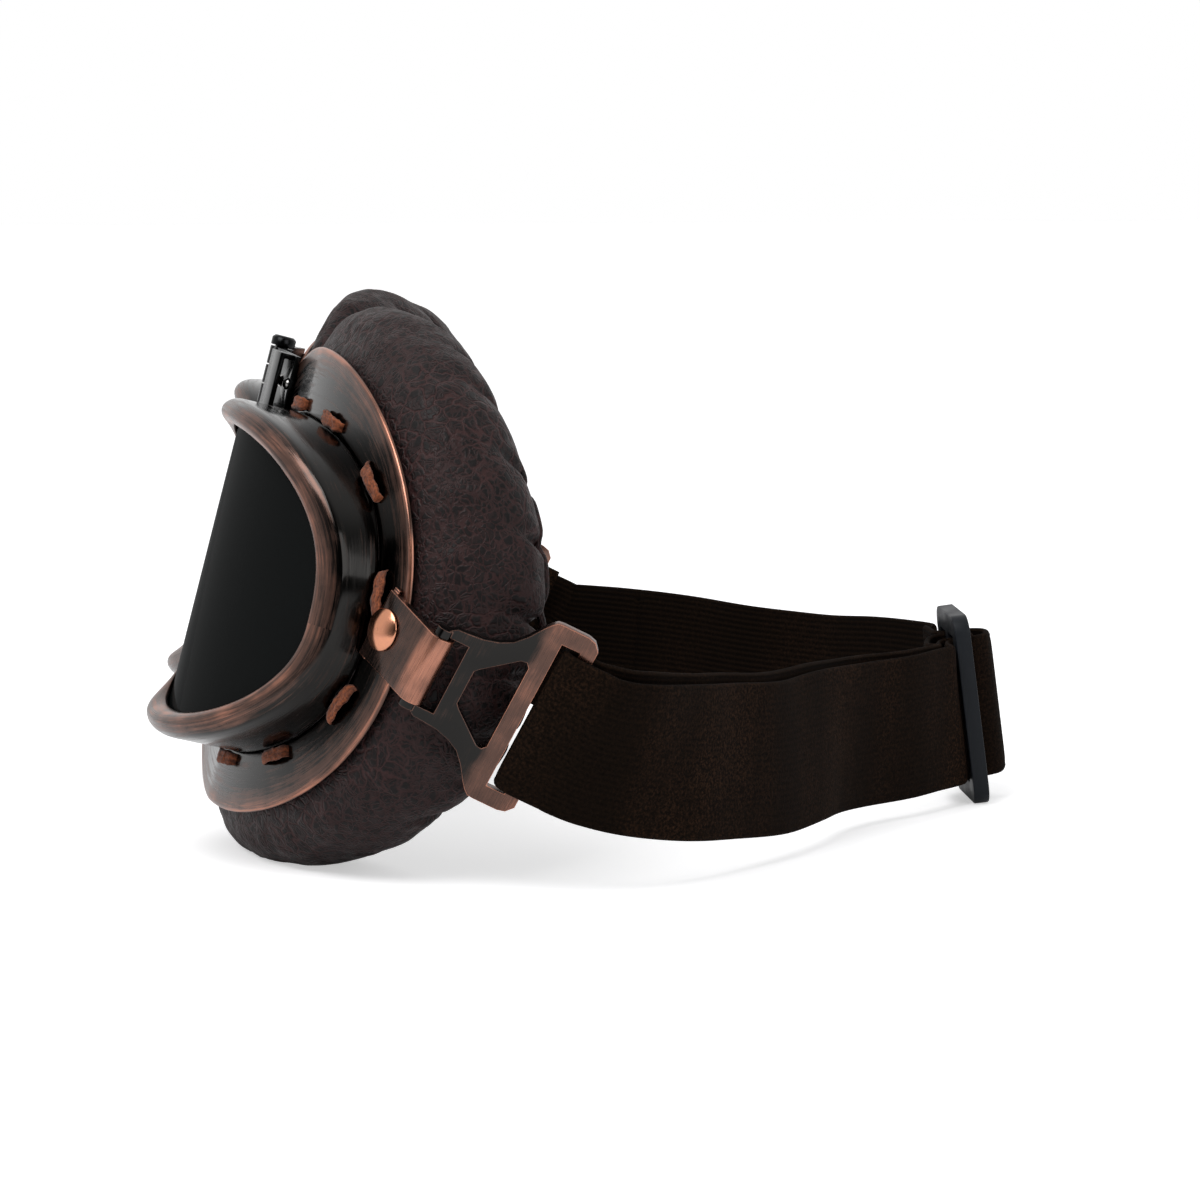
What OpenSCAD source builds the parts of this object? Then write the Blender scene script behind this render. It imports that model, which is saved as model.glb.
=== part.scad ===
// Steampunk goggles: two hinged eyecups, laced leather pads, side buckles and an elastic strap.
// They lie on a table as photographed, leaning back on the undersides of the pads.
// Millimetres. +Z is up, the wearer faces -Y and the wearer's left is +X.

/* [Pose on the table] */
// How far the eyecups lean back, degrees
lean = 14.6; // [8:0.1:20]
// How far each eyecup turns outwards from straight ahead, degrees
toe = 10.2; // [6:0.1:14]
// How far the right eyecup is folded back about the nose pin, degrees
far_fold = 11; // [8:0.1:12]
// Sideways place of each eyecup's centre
eye_offset = 50; // [49:0.1:54]
// Height of the eyecups' centre above the table
eye_height = 52.5; // [50:0.1:56]
// Distance from the eyecups' centre line to the middle of the whole object
back_shift = 78; // [70:0.1:86]

// Distance from the nose pin sideways to the middle of the whole object
side_shift = 5.93; // [0:0.01:8]

/* [Lens] */
// Half width of the lens opening on the temple side
lens_out = 41.9; // [38:0.1:44]
// Half width of the lens opening on the nose side
lens_in = 31; // [28:0.1:33]
// Height of the lens opening above its centre
lens_top = 29.5; // [27:0.1:31]
// Height of the lens opening below its centre
lens_bottom = 25; // [22:0.1:27]
// Squareness of the outline's upper half, 2 is an ellipse
top_square = 2.6; // [2.2:0.05:3]
// Squareness of the outline's lower half, 2 is an ellipse
bottom_square = 2.1; // [2:0.05:2.6]
// How much the outline draws in at the lower nose corner
lens_nose_cut = 0.05; // [0:0.01:0.12]
// Radius that the lens is bent to
lens_radius = 66.8; // [60:0.1:80]
// Sideways place of the lens's foremost line
lens_apex = 6.6; // [3:0.1:8]
// Lens thickness
lens_thick = 1.8; // [1.2:0.1:2.2]
// How far the lens reaches under the bezel
lens_tuck = 3.4; // [2:0.1:3.4]
// Thickness of the rubber gasket behind the lens
gasket_thick = 1.5; // [1:0.1:2]

/* [Bezel and housing] */
// Width of the bezel's rolled bead
bead_width = 5.05; // [4.6:0.05:6]
// How far the bead stands in front of the lens
bead_proud = 4.1; // [3:0.1:5]
// Share of that height that the bead loses towards the temple
temple_low = 0.7; // [0:0.05:0.8]
// Thickness of the housing's side wall
wall_thick = 1.2; // [0.8:0.1:1.3]

/* [Flange plate] */
// Half width of the flange on the temple side
plate_out = 54.6; // [53:0.1:57]
// Half width of the flange on the nose side
plate_in = 44; // [43:0.1:45]
// Height of the flange above the centre
plate_top = 47.7; // [45:0.1:50]
// Height of the flange below the centre
plate_bottom = 41.2; // [39:0.1:43]
// Squareness of the flange outline
plate_square = 2.16; // [2:0.02:2.4]
// How much the flange outline draws in at the lower nose corner
plate_nose_cut = 0.06; // [0:0.01:0.12]
// Depth of the flange behind the lens's foremost line
plate_depth = 12.1; // [11:0.1:14]
// Radius that the flange is bent to
plate_radius = 125; // [110:1:150]
// Sideways place of the flange's foremost line
plate_apex = 2; // [0:0.1:4]
// Sideways place of the crease where the flat nose wing starts
crease = -2; // [-4:0.1:-1]
// Backward slope of the flat nose wing
wing_slope = 0.09; // [0.06:0.01:0.12]
// Sheet thickness
sheet = 0.9; // [0.7:0.05:1.2]
// Depth of the edge that is turned back round the flange
rim_depth = 2.6; // [1.8:0.1:3.2]
// Width of the window in the nose wing
window_wide = 10; // [8:0.1:11]
// Height of the window in the nose wing
window_high = 7.4; // [6:0.1:8]
// Sideways place of the window's middle
window_at = -12.5; // [-13:0.1:-11]
// Height of the window's middle
window_up = 39.2; // [38.6:0.1:40]

/* [Pad] */
// Bulge of the pad beyond the flange at the top
bulge_top = 11; // [8:0.1:12]
// Bulge of the pad beyond the flange at the bottom
bulge_bottom = 8; // [6:0.1:9]
// Bulge of the pad beyond the flange at the temple
bulge_out = 5; // [4:0.1:7]
// Depth of the pad behind the flange, up to its seam
pad_deep = 27; // [22:0.1:30]
// How far the pad draws in along the nose
nose_draw = 5; // [3:0.1:7]
// Depth of the gathers along the pad's seam
gather = 0.8; // [0.2:0.05:1.2]
// Number of gathers round each pad
gathers = 25; // [15:1:26]
// Gap between the pad and the metal in front of it
pad_gap = 0.15; // [0.1:0.05:0.4]

/* [Lace] */
// Number of lace stitches round each eyecup
stitches = 11; // [7:1:12]
// Length of a stitch
stitch_long = 10.2; // [7:0.1:11]
// Width of the suede lace
lace_wide = 2.7; // [2:0.1:2.9]
// Thickness of the suede lace
lace_thick = 1.1; // [0.8:0.05:1.4]
// Distance of the stitches from the lens opening
lace_ring = 6.7; // [6.6:0.1:7.4]
// Bore of the holes that the lace goes through
lace_hole = 2.6; // [2.4:0.1:2.8]

/* [Strap tab] */
// Sideways place of the tab's rivet
rivet_out = 51.4; // [51:0.1:52]
// Height of the tab's rivet
rivet_up = 2.9; // [1:0.1:4]
// Turn of the tab downwards on the flange, degrees
tab_turn = 19.5; // [12:0.1:24]
// Width of the tab
tab_wide = 13.4; // [12:0.1:14]
// Length of the tab from the rivet to the middle of the loop
tab_long = 11.7; // [11.4:0.1:12.4]
// Length of the tab on the nose side of its rivet
tab_tail = 3; // [2.6:0.1:3.4]
// Thickness of the tab's sheet
tab_sheet = 0.8; // [0.6:0.05:0.9]
// Diameter of the tab rivet's head
rivet_head = 7.8; // [6.5:0.1:8]
// Diameter of the tab rivet's shank
rivet_shank = 2.4; // [2:0.1:3]

/* [Buckle] */
// Diameter of the bar that turns in the tab's loop
bar_round = 3.2; // [2.8:0.1:3.6]
// Running clearance between that bar and the loop
bar_clear = 0.05; // [0.02:0.01:0.08]
// Thickness of the buckle plate
buckle_thick = 1.8; // [1.4:0.1:2.4]
// Length of the slot that the tab passes through
tab_slot = 14.2; // [14:0.1:14.8]
// Height of the buckle at its outer end
buckle_high = 37; // [35:0.1:38]
// Turn of the buckle from the tab towards the strap, degrees
buckle_turn = 52; // [40:0.5:60]

/* [Strap] */
// Width of the elastic strap
strap_wide = 29; // [26:0.1:29.6]
// Thickness of the elastic strap
strap_thick = 1.6; // [1.2:0.1:1.8]
// Radius about each buckle bar where the strap's loop ends
loop_reach = 29; // [28:0.1:32]
// Gap between the strap's pieces where they part
strap_gap = 0.4; // [0.3:0.05:0.6]

/* [Slider] */
// Height of the slider
slider_high = 38.8; // [37.6:0.1:40]
// Width of the slider along the strap
slider_wide = 25; // [24:0.1:26]
// Thickness of the slider
slider_thick = 3.2; // [2.6:0.1:3.4]
// Width of the slider's bars
slider_bar = 4.2; // [3.6:0.1:4.4]
// Lean of the slider, degrees
slider_lean = 7.5; // [4:0.5:9]

/* [Nose hinge] */
// Diameter of the hinge pin
pin_round = 2.4; // [2:0.1:2.6]
// Running clearance between the pin and the knuckles
pin_clear = 0.04; // [0.02:0.01:0.08]
// Outer diameter of the knuckles
knuckle_round = 4.6; // [4.2:0.1:4.8]
// Height of the hinge
hinge_high = 11.4; // [10:0.1:12]
// Height of the hinge's lower end
hinge_foot = 32.6; // [32:0.1:33.4]
// Gap between two knuckles
knuckle_gap = 0.3; // [0.2:0.05:0.4]
// Thickness of the hinge leaves
leaf_thick = 1; // [0.8:0.05:1.2]
// Diameter of the knurled head on the pin
pin_head = 4.8; // [4:0.1:5.6]

/* [Hidden] */
$fn = 72;
e = 0.01;
steps = 96;
plate_v = plate_depth;
pin_v = 8.2;

// Outlines in an eyecup's own frame: u sideways, v backwards, w upwards.
function flip(x) = x < 0 ? -1 : 1;
function lobe(out, inn, top, bot, nt, nb, cut, t) =
    let (c = cos(t), s = sin(t), n = s > 0 ? nt : nb,
        u = (c > 0 ? out : inn) * flip(c) * pow(abs(c), 2 / n),
        w = (s > 0 ? top : bot) * flip(s) * pow(abs(s), 2 / n),
        k = s < 0 && c < 0 ? 1 - 4 * cut * s * s * c * c : 1)
    [u * k, w * k];
function lens_at(d, t) = lobe(lens_out + d, lens_in + d, lens_top + d, lens_bottom + d,
    top_square, bottom_square, lens_nose_cut, t);
function plate_at(d, t) = lobe(plate_out + d, plate_in + d, plate_top + d, plate_bottom + d,
    plate_square, plate_square, plate_nose_cut, t);
function bow(x, r) = r - sqrt(r * r - x * x);
function lens_v(u) = bow(u - lens_apex, lens_radius);
function plate_face(u) = u > crease ? plate_v + bow(u - plate_apex, plate_radius)
    : plate_v + bow(crease - plate_apex, plate_radius) + wing_slope * (crease - u);
function ring(n) = [for (i = [0:n - 1]) i * 360 / n];
function unit(a) = a / norm(a);

module table_place() {
    translate([-side_shift, -back_shift, eye_height]) children();
}
module left() { lean_place() eyecup_flat() children(); }
module far_place() {
    lean_place() translate([0, pin_v, 0]) rotate([0, 0, -far_fold]) translate([0, -pin_v, 0]) mirror([1, 0, 0])
        children();
}
module right() { far_place() eyecup_flat() children(); }

// A prism along v through a lens outline or a flange outline.
module lens_prism(d) {
    translate([0, 60, 0]) rotate([90, 0, 0]) linear_extrude(80)
        polygon([for (t = ring(steps)) lens_at(d, t)]);
}
module plate_prism(d) {
    translate([0, 60, 0]) rotate([90, 0, 0]) linear_extrude(80)
        polygon([for (t = ring(steps)) plate_at(d, t)]);
}
// Bent sheet that follows the lens, from depth a to depth b behind its face.
module lens_shell(a, b) {
    translate([lens_apex, lens_radius, 0]) difference() {
        cylinder(h = 140, r = lens_radius - a, center = true, $fn = 180);
        cylinder(h = 142, r = lens_radius - b, center = true, $fn = 180);
        translate([-100, 0, -75]) cube([200, 100, 150]);
    }
}
// Bent sheet with its flat nose wing, from the flange's face to depth b.
module plate_shell(b) {
    v0 = plate_face(crease);
    union() {
        translate([plate_apex, plate_v + plate_radius, 0]) intersection() {
            difference() {
                cylinder(h = 140, r = plate_radius, center = true, $fn = 240);
                cylinder(h = 142, r = plate_radius - b, center = true, $fn = 240);
            }
            translate([crease - plate_apex, -plate_radius - 10, -71]) cube([90, 60, 142]);
        }
        translate([0, 0, -70]) linear_extrude(140)
            polygon([[crease + e, v0], [crease + e, v0 + b],
                [-70, v0 + b + wing_slope * (crease + 70)], [-70, v0 + wing_slope * (crease + 70)]]);
    }
}

// Places on the flange face.
plate_angle = asin((rivet_out - plate_apex) / plate_radius);
module tab_place() {
    translate([rivet_out, plate_face(rivet_out), rivet_up]) rotate([0, 0, plate_angle])
        rotate([0, tab_turn, 0]) children();
}
loop_back = bar_round / 2 + bar_clear - tab_sheet - 0.05;
module bar_place() {
    tab_place() translate([tab_long, loop_back, 0]) children();
}
module buckle_place() { bar_place() rotate([0, 0, buckle_turn]) children(); }

// Lace stitches are spread evenly along their ring by its length.
lace_pts = [for (i = [0:180]) lens_at(lace_ring, i * 2)];
lace_sum = [for (i = 0, a = 0; i <= 180; i = i + 1,
    a = a + norm(lace_pts[min(i, 180)] - lace_pts[max(0, i - 1)])) a];
lace_len = lace_sum[180];
function lace_t(x) = lookup(x, [for (i = [0:180]) [lace_sum[i], i * 2]]);
function lace_mid(i) = lace_len * (i + 0.39) / stitches;
function lace_spot(x) = let (t = lace_t((x + lace_len) % lace_len)) lens_at(lace_ring - draw_in(t), t);
function slope_at(u) = u > crease ? asin((u - plate_apex) / plate_radius) : -atan(wing_slope);

module lace_holes() {
    for (i = [0:stitches - 1])
        for (k = [-1, 1]) {
            p = lace_spot(lace_mid(i) + k * (stitch_long / 2 - 0.6));
            translate([p[0], plate_face(p[0]), p[1]]) rotate([0, 0, slope_at(p[0])])
                rotate([90, 0, 0]) cylinder(h = 6, d = lace_hole, center = true, $fn = 24);
        }
}
module hinge_holes(d) {
    for (x = [leaf_near, leaf_far])
        translate([x, plate_face(x), hinge_mid]) rotate([0, 0, slope_at(x)])
            rotate([90, 0, 0]) cylinder(h = 8, d = d, center = true, $fn = 32);
}
module window_block(grow) {
    translate([window_at, plate_face(window_at), window_up]) rotate([0, 0, slope_at(window_at)])
        union() {
            cube([window_wide + grow - 2, 8, window_high + grow], center = true);
            cube([window_wide + grow, 8, window_high + grow - 2], center = true);
            for (a = [-1, 1])
                for (b = [-1, 1])
                    translate([a * ((window_wide + grow) / 2 - 1), 0, b * ((window_high + grow) / 2 - 1)])
                        rotate([90, 0, 0]) cylinder(h = 8, r = 1, center = true, $fn = 24);
        }
}

module flange() {
    color("#4a4544") difference() {
        union() {
            intersection() {
                plate_shell(sheet);
                difference() {
                    plate_prism(0);
                    lens_prism(lens_tuck + 0.25);
                }
            }
            intersection() {
                plate_shell(rim_depth);
                difference() {
                    plate_prism(0);
                    plate_prism(-sheet);
                }
            }
        }
        lace_holes();
        window_block(0);
        hinge_holes(hinge_rivet);
        tab_place() rotate([90, 0, 0]) cylinder(h = 6, d = rivet_shank, center = true, $fn = 32);
    }
}

// Rolled bezel bead and side wall in one sweep: distance from the opening, height before the lens.
lip_clear = 0.08;
function bead(k) = [[0, -lip_clear], [0, 0.25], [0.06, 0.55], [0.2, 0.85], [0.42, 1], [0.62, 0.97],
    [0.8, 0.82], [0.93, 0.58], [1, 0.3]][k];
beads = 9;
function proud_at(t) = bead_proud * (1 - cos(t) * cos(t) * (cos(t) > 0 ? temple_low : 0.2));
function draw_in(t) = cos(t) > 0 ? 0.9 * cos(t) * cos(t) : 0;
function housing_pt(t, k) =
    k < beads ? let (b = bead(k), p = lens_at(b[0] * bead_width, t),
            v = lens_v(p[0]) - (k == 0 ? lip_clear : b[1] * proud_at(t)))
        [p[0], min(v, plate_face(p[0]) - 0.6), p[1]]
    : k == beads ? let (p = lens_at(bead_width - draw_in(t), t)) [p[0], plate_face(p[0]) - 0.04, p[1]]
    : k == beads + 1 ? let (p = lens_at(bead_width - draw_in(t) - wall_thick, t))
        [p[0], plate_face(p[0]) - 0.04, p[1]]
    : let (p = lens_at(bead_width - wall_thick, t))
        [p[0], min(lens_v(p[0]) - lip_clear, plate_face(p[0]) - 0.3), p[1]];
module loop_skin(pts, n, m) {
    polyhedron(points = [for (i = [0:n - 1]) for (k = [0:m - 1]) pts[i][k]],
        faces = [for (i = [0:n - 1]) for (k = [0:m - 1]) for (h = [0, 1])
            let (a = i * m + k, b = i * m + (k + 1) % m, c = ((i + 1) % n) * m + k,
                d = ((i + 1) % n) * m + (k + 1) % m) h == 0 ? [a, d, b] : [a, c, d]]);
}
module housing() {
    m = beads + 3;
    color("#7c4b3a") loop_skin([for (t = ring(steps)) [for (k = [0:m - 1]) housing_pt(t, k)]], steps, m);
}

module lens() {
    color("#15171a") intersection() {
        lens_shell(0, lens_thick);
        lens_prism(lens_tuck);
    }
}
module gasket() {
    color("#0c0c0c") intersection() {
        lens_shell(lens_thick + 0.05, lens_thick + 0.05 + gasket_thick);
        difference() {
            lens_prism(lens_tuck - 0.1);
            lens_prism(0.8);
        }
    }
}

// Pad section: share of the way from the lens opening to the flange edge, bulge, depth.
pad_steps = gathers * 4;
function pad_bulge(t) = sin(t) * sin(t) * (sin(t) > 0 ? bulge_top : bulge_bottom)
    + cos(t) * cos(t) * (cos(t) > 0 ? bulge_out : -0.4);
function pad_normal(t) = let (a = plate_at(0, t - 1), b = plate_at(0, t + 1), d = unit(b - a))
    [d[1], -d[0]];
// The pad's front lies this far inside the flange's edge, behind its turned rim.
rim_in = -1.3;
function pad_pt(i, k) =
    let (t = i * 360 / pad_steps, q0 = sheet + pad_gap, c = cos(t),
        f = [[0, 0, q0], [1, rim_in, q0], [1, rim_in, rim_depth + pad_gap],
            [1, 0.42, rim_depth + 0.5], [1, 0.86, 6.6], [1, 1, 0.47 * pad_deep],
            [1, 0.86, 0.72 * pad_deep], [1, 0.36, 0.93 * pad_deep], [0.92, 0, pad_deep],
            [0.5, 0, pad_deep + 1.6], [0.02, -0.1, 0.9 * pad_deep], [0.05, 0, 0.4 * pad_deep]][k],
        b = pad_bulge(t), g = i % 4 == 0 ? -1 : i % 4 == 2 ? 0.7 : 0.1,
        fold = k == 8 ? g * gather * 1.3 : k == 7 ? g * gather : k == 6 ? g * gather * 0.45 : 0,
        x = (k == 1 || k == 2 ? f[1] : f[1] * b) + fold,
        deep = k < 3 ? 0 : (f[2] / pad_deep) * nose_draw * (c < 0 ? c * c : 0),
        n = pad_normal(t), a = lens_at(lens_tuck + 0.8, t), p = plate_at(0, t),
        uw = a + f[0] * (p - a) + n * (x - deep))
    [uw[0], plate_face(p[0] + (a[0] - p[0]) * (1 - f[0])) + f[2] + fold * 0.4, uw[1]];
module pad_skin() {
    m = 12;
    loop_skin([for (i = [0:pad_steps - 1]) [for (k = [0:m - 1]) pad_pt(i, k)]], pad_steps, m);
}
module above_table() {
    translate([-150, -150, 0]) cube([300, 330, 160]);
}

// A band swept along points with an up direction at each: half width and half thickness.
module band(pts, ups, wide, thick) {
    n = len(pts);
    tan = [for (i = [0:n - 1]) unit(pts[min(i + 1, n - 1)] - pts[max(i - 1, 0)])];
    nor = [for (i = [0:n - 1]) unit(cross(tan[i], ups[i]))];
    up = [for (i = [0:n - 1]) unit(cross(nor[i], tan[i]))];
    w = is_list(wide) ? wide : [for (i = [0:n - 1]) wide];
    q = [[-1, -1], [1, -1], [1, 1], [-1, 1]];
    polyhedron(points = [for (i = [0:n - 1]) for (k = q)
            pts[i] + nor[i] * k[0] * thick / 2 + up[i] * k[1] * w[i] / 2],
        faces = concat([[0, 2, 1], [0, 3, 2]],
            [for (i = [0:n - 2]) for (k = [0:3]) for (h = [0, 1])
                let (a = i * 4 + k, b = i * 4 + (k + 1) % 4, c = a + 4, d = b + 4)
                h == 0 ? [a, d, c] : [a, b, d]],
            [[4 * n - 4, 4 * n - 3, 4 * n - 2], [4 * n - 4, 4 * n - 2, 4 * n - 1]]));
}

// One stitch: up through a hole, over the sheet, down through the next.
module stitch(i) {
    h = stitch_long / 2 - 0.6;
    rise = lace_thick / 2 + 0.12;
    path = [[-h, -sheet + 0.03], [-h, -0.2], [-h + 0.25, rise * 0.8], [-h + 1.1, rise + 0.35],
        [0, rise + 0.6], [h - 1.1, rise + 0.35], [h - 0.25, rise * 0.8], [h, -0.2], [h, -sheet + 0.03]];
    wd = [0.6, 0.62, 0.8, 0.97, 1, 0.97, 0.8, 0.62, 0.6] * lace_wide;
    pts = [for (s = path) let (p = lace_spot(lace_mid(i) + s[0]), g = slope_at(p[0]))
        [p[0] + s[1] * sin(g), plate_face(p[0]) - s[1] * cos(g), p[1]]];
    a = lace_spot(lace_mid(i) - 1);
    b = lace_spot(lace_mid(i) + 1);
    g = slope_at(lace_spot(lace_mid(i))[0]);
    along = unit([b[0] - a[0], tan(g) * (b[0] - a[0]), b[1] - a[1]]);
    up = cross([sin(g), -cos(g), 0], along);
    band(pts, [for (s = path) up], wd, lace_thick);
}
module lace() {
    color("#8a4a2a") for (i = [0:stitches - 1]) stitch(i);
}

// Strap tab: a strip folded double round the buckle's bar and riveted on the flange.
loop_in = bar_round / 2 + bar_clear;
loop_out = loop_in + tab_sheet;
module tab() {
    color("#8a5238") difference() {
        union() {
            tab_place() {
                translate([-tab_tail, -2 * tab_sheet - 0.05, -tab_wide / 2])
                    cube([tab_long + tab_tail, tab_sheet, tab_wide]);
                translate([-tab_tail - 0.2, -tab_sheet - 0.06, -tab_wide / 2])
                    cube([tab_long + tab_tail - 1.6, tab_sheet + e, tab_wide]);
                translate([-tab_tail - 0.2, -tab_sheet - 0.06, -tab_wide / 2 - 0.6])
                    cube([1.5, tab_sheet + e, tab_wide + 1.2]);
            }
            bar_place() cylinder(h = tab_wide, r = loop_out, center = true);
        }
        bar_place() cylinder(h = tab_wide + 6, r = loop_in, center = true);
        tab_place() rotate([90, 0, 0]) cylinder(h = 12, d = rivet_shank, center = true, $fn = 32);
    }
}
module rivet() {
    color("#c97b52") tab_place() rotate([90, 0, 0]) {
        translate([0, 0, -sheet - 0.05]) cylinder(h = sheet + 2 * tab_sheet + 0.6, d = rivet_shank, $fn = 32);
        translate([0, 0, 2 * tab_sheet + 0.08]) intersection() {
            translate([0, 0, -6]) sphere(r = sqrt(pow(rivet_head / 2, 2) + 36) + 0.3);
            cylinder(h = 5, d = rivet_head);
        }
    }
}

// Buckle plate in the bar's frame: x towards the strap, z along the bar.
slot_at = bar_round / 2 + 0.6;
slot_wide = 2.8;
strap_slot_at = 19;
strap_slot_wide = 3.6;
rear_bar = 2.8;
lead = 0.5;
half = buckle_high / 2;
module buckle() {
    front = tab_slot / 2 + 2.4;
    rear = strap_slot_at + strap_slot_wide + rear_bar;
    side = [[0.2, front - 1.2], [1.4, front - 0.3], [3.3, front - 0.2], [6.3, front + 0.1], [9, front + 0.9],
        [11.2, front + 2.1], [13.1, front + 4.2], [14.8, front + 6.8], [15.8, half - 0.9],
        [16.7, half - 0.15], [17.8, half], [22.7, half], [24.2, half - 0.4], [rear, half - 1.8]];
    color("#6b4a3c") difference() {
        union() {
            rotate([90, 0, 0]) translate([lead, 0, -buckle_thick / 2]) linear_extrude(buckle_thick)
                polygon(concat([for (p = side) p], [for (i = [len(side) - 1:-1:0]) [side[i][0], -side[i][1]]]));
            cylinder(h = 2 * front - 2.4, d = bar_round, center = true);
        }
        translate([slot_at, -4, -tab_slot / 2]) cube([slot_wide, 8, tab_slot]);
        translate([-4, -4, -tab_slot / 2]) difference() {
            cube([4 + slot_at + e, 8, tab_slot]);
            translate([4, 4, tab_slot / 2]) cylinder(h = 30, d = bar_round, center = true);
        }
        rotate([90, 0, 0]) translate([lead, 0, -4]) linear_extrude(8)
            polygon([[7.4, 3.4], [8.1, 4.2], [13.9, 9], [15, 9.2], [15.7, 8.4], [15.7, -8.4],
                [15, -9.2], [13.9, -9], [8.1, -4.2], [7.4, -3.4]]);
        translate([lead + strap_slot_at, -4, -strap_wide / 2 - 0.6])
            cube([strap_slot_wide, 8, strap_wide + 1.2]);
    }
}

// Frames as vectors, for the strap: the same turns as the modules above.
function rx(a, p) = [p[0], p[1] * cos(a) - p[2] * sin(a), p[1] * sin(a) + p[2] * cos(a)];
function ry(a, p) = [p[0] * cos(a) + p[2] * sin(a), p[1], -p[0] * sin(a) + p[2] * cos(a)];
function rz(a, p) = [p[0] * cos(a) - p[1] * sin(a), p[0] * sin(a) + p[1] * cos(a), p[2]];
table_shift = [-side_shift, -back_shift, eye_height];
function to_table(p) = p + table_shift;
function eye_dir(p) = rx(-lean, rz(toe, p));
function tab_dir(p) = eye_dir(rz(plate_angle, ry(tab_turn, p)));
bar_mid = to_table(rx(-lean, [eye_offset, 0, 0]) + eye_dir([rivet_out, plate_face(rivet_out), rivet_up])
    + tab_dir([tab_long, loop_back, 0]));
function buckle_pt(x, y) = bar_mid + tab_dir(rz(buckle_turn, [x, y, 0]));
bar_up = tab_dir([0, 0, 1]);

// Strap loop round the buckle's outer bar, ending at loop_reach from the turning bar.
fold_r = buckle_thick / 2 + 0.25 + strap_thick / 2;
fold_x = lead + strap_slot_at + strap_slot_wide + 0.5;
module strap_loop() {
    color("#2a2120") band(concat([buckle_pt(loop_reach, -fold_r), buckle_pt((loop_reach + fold_x) / 2, -fold_r)],
        [for (a = [270:-30:90]) buckle_pt(fold_x + fold_r * cos(a), fold_r * sin(a))],
        [buckle_pt((loop_reach + fold_x) / 2, fold_r), buckle_pt(loop_reach, fold_r)]),
        [for (i = [0:10]) bar_up], strap_wide, strap_thick);
}

// Slider frame: a across the slider towards the near side, b outwards.
slider_mid = [1.6 - side_shift, 157.6 - back_shift, slider_high / 2 * cos(slider_lean)];
slider_turn = -4;
slider_up = [0, -sin(slider_lean), cos(slider_lean)];
function slide_pt(a, b) = slider_mid + rx(slider_lean, rz(slider_turn, [a, b, 0]));
module slider_place() {
    translate(slider_mid) rotate([slider_lean, 0, 0]) rotate([0, 0, slider_turn]) children();
}
module slider() {
    bar = slider_bar;
    gap = (slider_wide - 3 * bar) / 2;
    color("#1c1c1e") intersection() {
        slider_place() difference() {
            union() {
                cube([slider_wide, slider_thick, slider_high - 2 * bar], center = true);
                cube([slider_wide - 2 * bar, slider_thick, slider_high], center = true);
                for (a = [-1, 1])
                    for (b = [-1, 1])
                        translate([a * (slider_wide / 2 - bar), 0, b * (slider_high / 2 - bar)])
                            rotate([90, 0, 0]) cylinder(h = slider_thick, r = bar, center = true);
            }
            for (a = [-1, 1])
                translate([a * (bar + gap) / 2 - gap / 2, -4, -strap_wide / 2 - 0.5])
                    cube([gap, 8, strap_wide + 1]);
        }
        above_table();
    }
}

// Strap routes over the table: sideways, back from the eyecups' centre line, height of the middle.
function route(p) = [p[0] - side_shift, p[1] - back_shift, p[2]];
function soft(a, b, c, d, k) = 0.5 * (2 * b + (c - a) * k + (2 * a - 5 * b + 4 * c - d) * k * k
    + (3 * b - a - 3 * c + d) * k * k * k);
function smooth(P, n) = let (m = len(P)) concat(
    [for (i = [0:m - 2]) for (j = [0:n - 1])
        soft(P[max(i - 1, 0)], P[i], P[i + 1], P[min(i + 2, m - 1)], j / n)], [P[m - 1]]);
cut_near = buckle_pt(loop_reach + strap_gap, -fold_r);
flat_up = [0, 0, 1];
function tween(a, b, k) = unit(a * (1 - k) + b * k);
upturn = [0, 0.02, 0.2, 0.5, 0.8, 0.95, 1, 1, 1, 1, 1, 1];
outer_nodes = concat([cut_near, buckle_pt(loop_reach + 3, -fold_r)],
    [for (p = [[108.2, 69, 25.8], [105.2, 76, 24.2], [97.6, 84.6, 22.6], [86, 95, 21], [71.5, 107, 19.4],
        [58, 116.9, 19.4], [45, 126.9, 18.8], [33, 136.8, 18.4], [23, 146.4, 18.6]]) route(p)],
    [slide_pt(15, -4.2)]);
near_mid = smooth(outer_nodes, 3);
near_up = smooth([for (k = upturn) tween(bar_up, flat_up, k)], 3);
outer_slide = [[12, -3], [9.4, -2.9], [7.7, -2.6], [6.5, -1.2], [6.1, 0.6], [6.1, 2.4], [4.8, 5],
    [2.4, 6.1], [-0.6, 6.5], [-3.6, 5.4], [-5.4, 3.2], [-6.2, 0.6], [-6.7, -1.2], [-8.2, -2.6],
    [-10.6, -3], [-14.5, -3.1], [-17.5, -3.4]];
outer_route = concat(near_mid, [for (p = outer_slide) slide_pt(p[0], p[1])]);
outer_ups = concat(near_up, [for (p = outer_slide) slider_up]);
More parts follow.
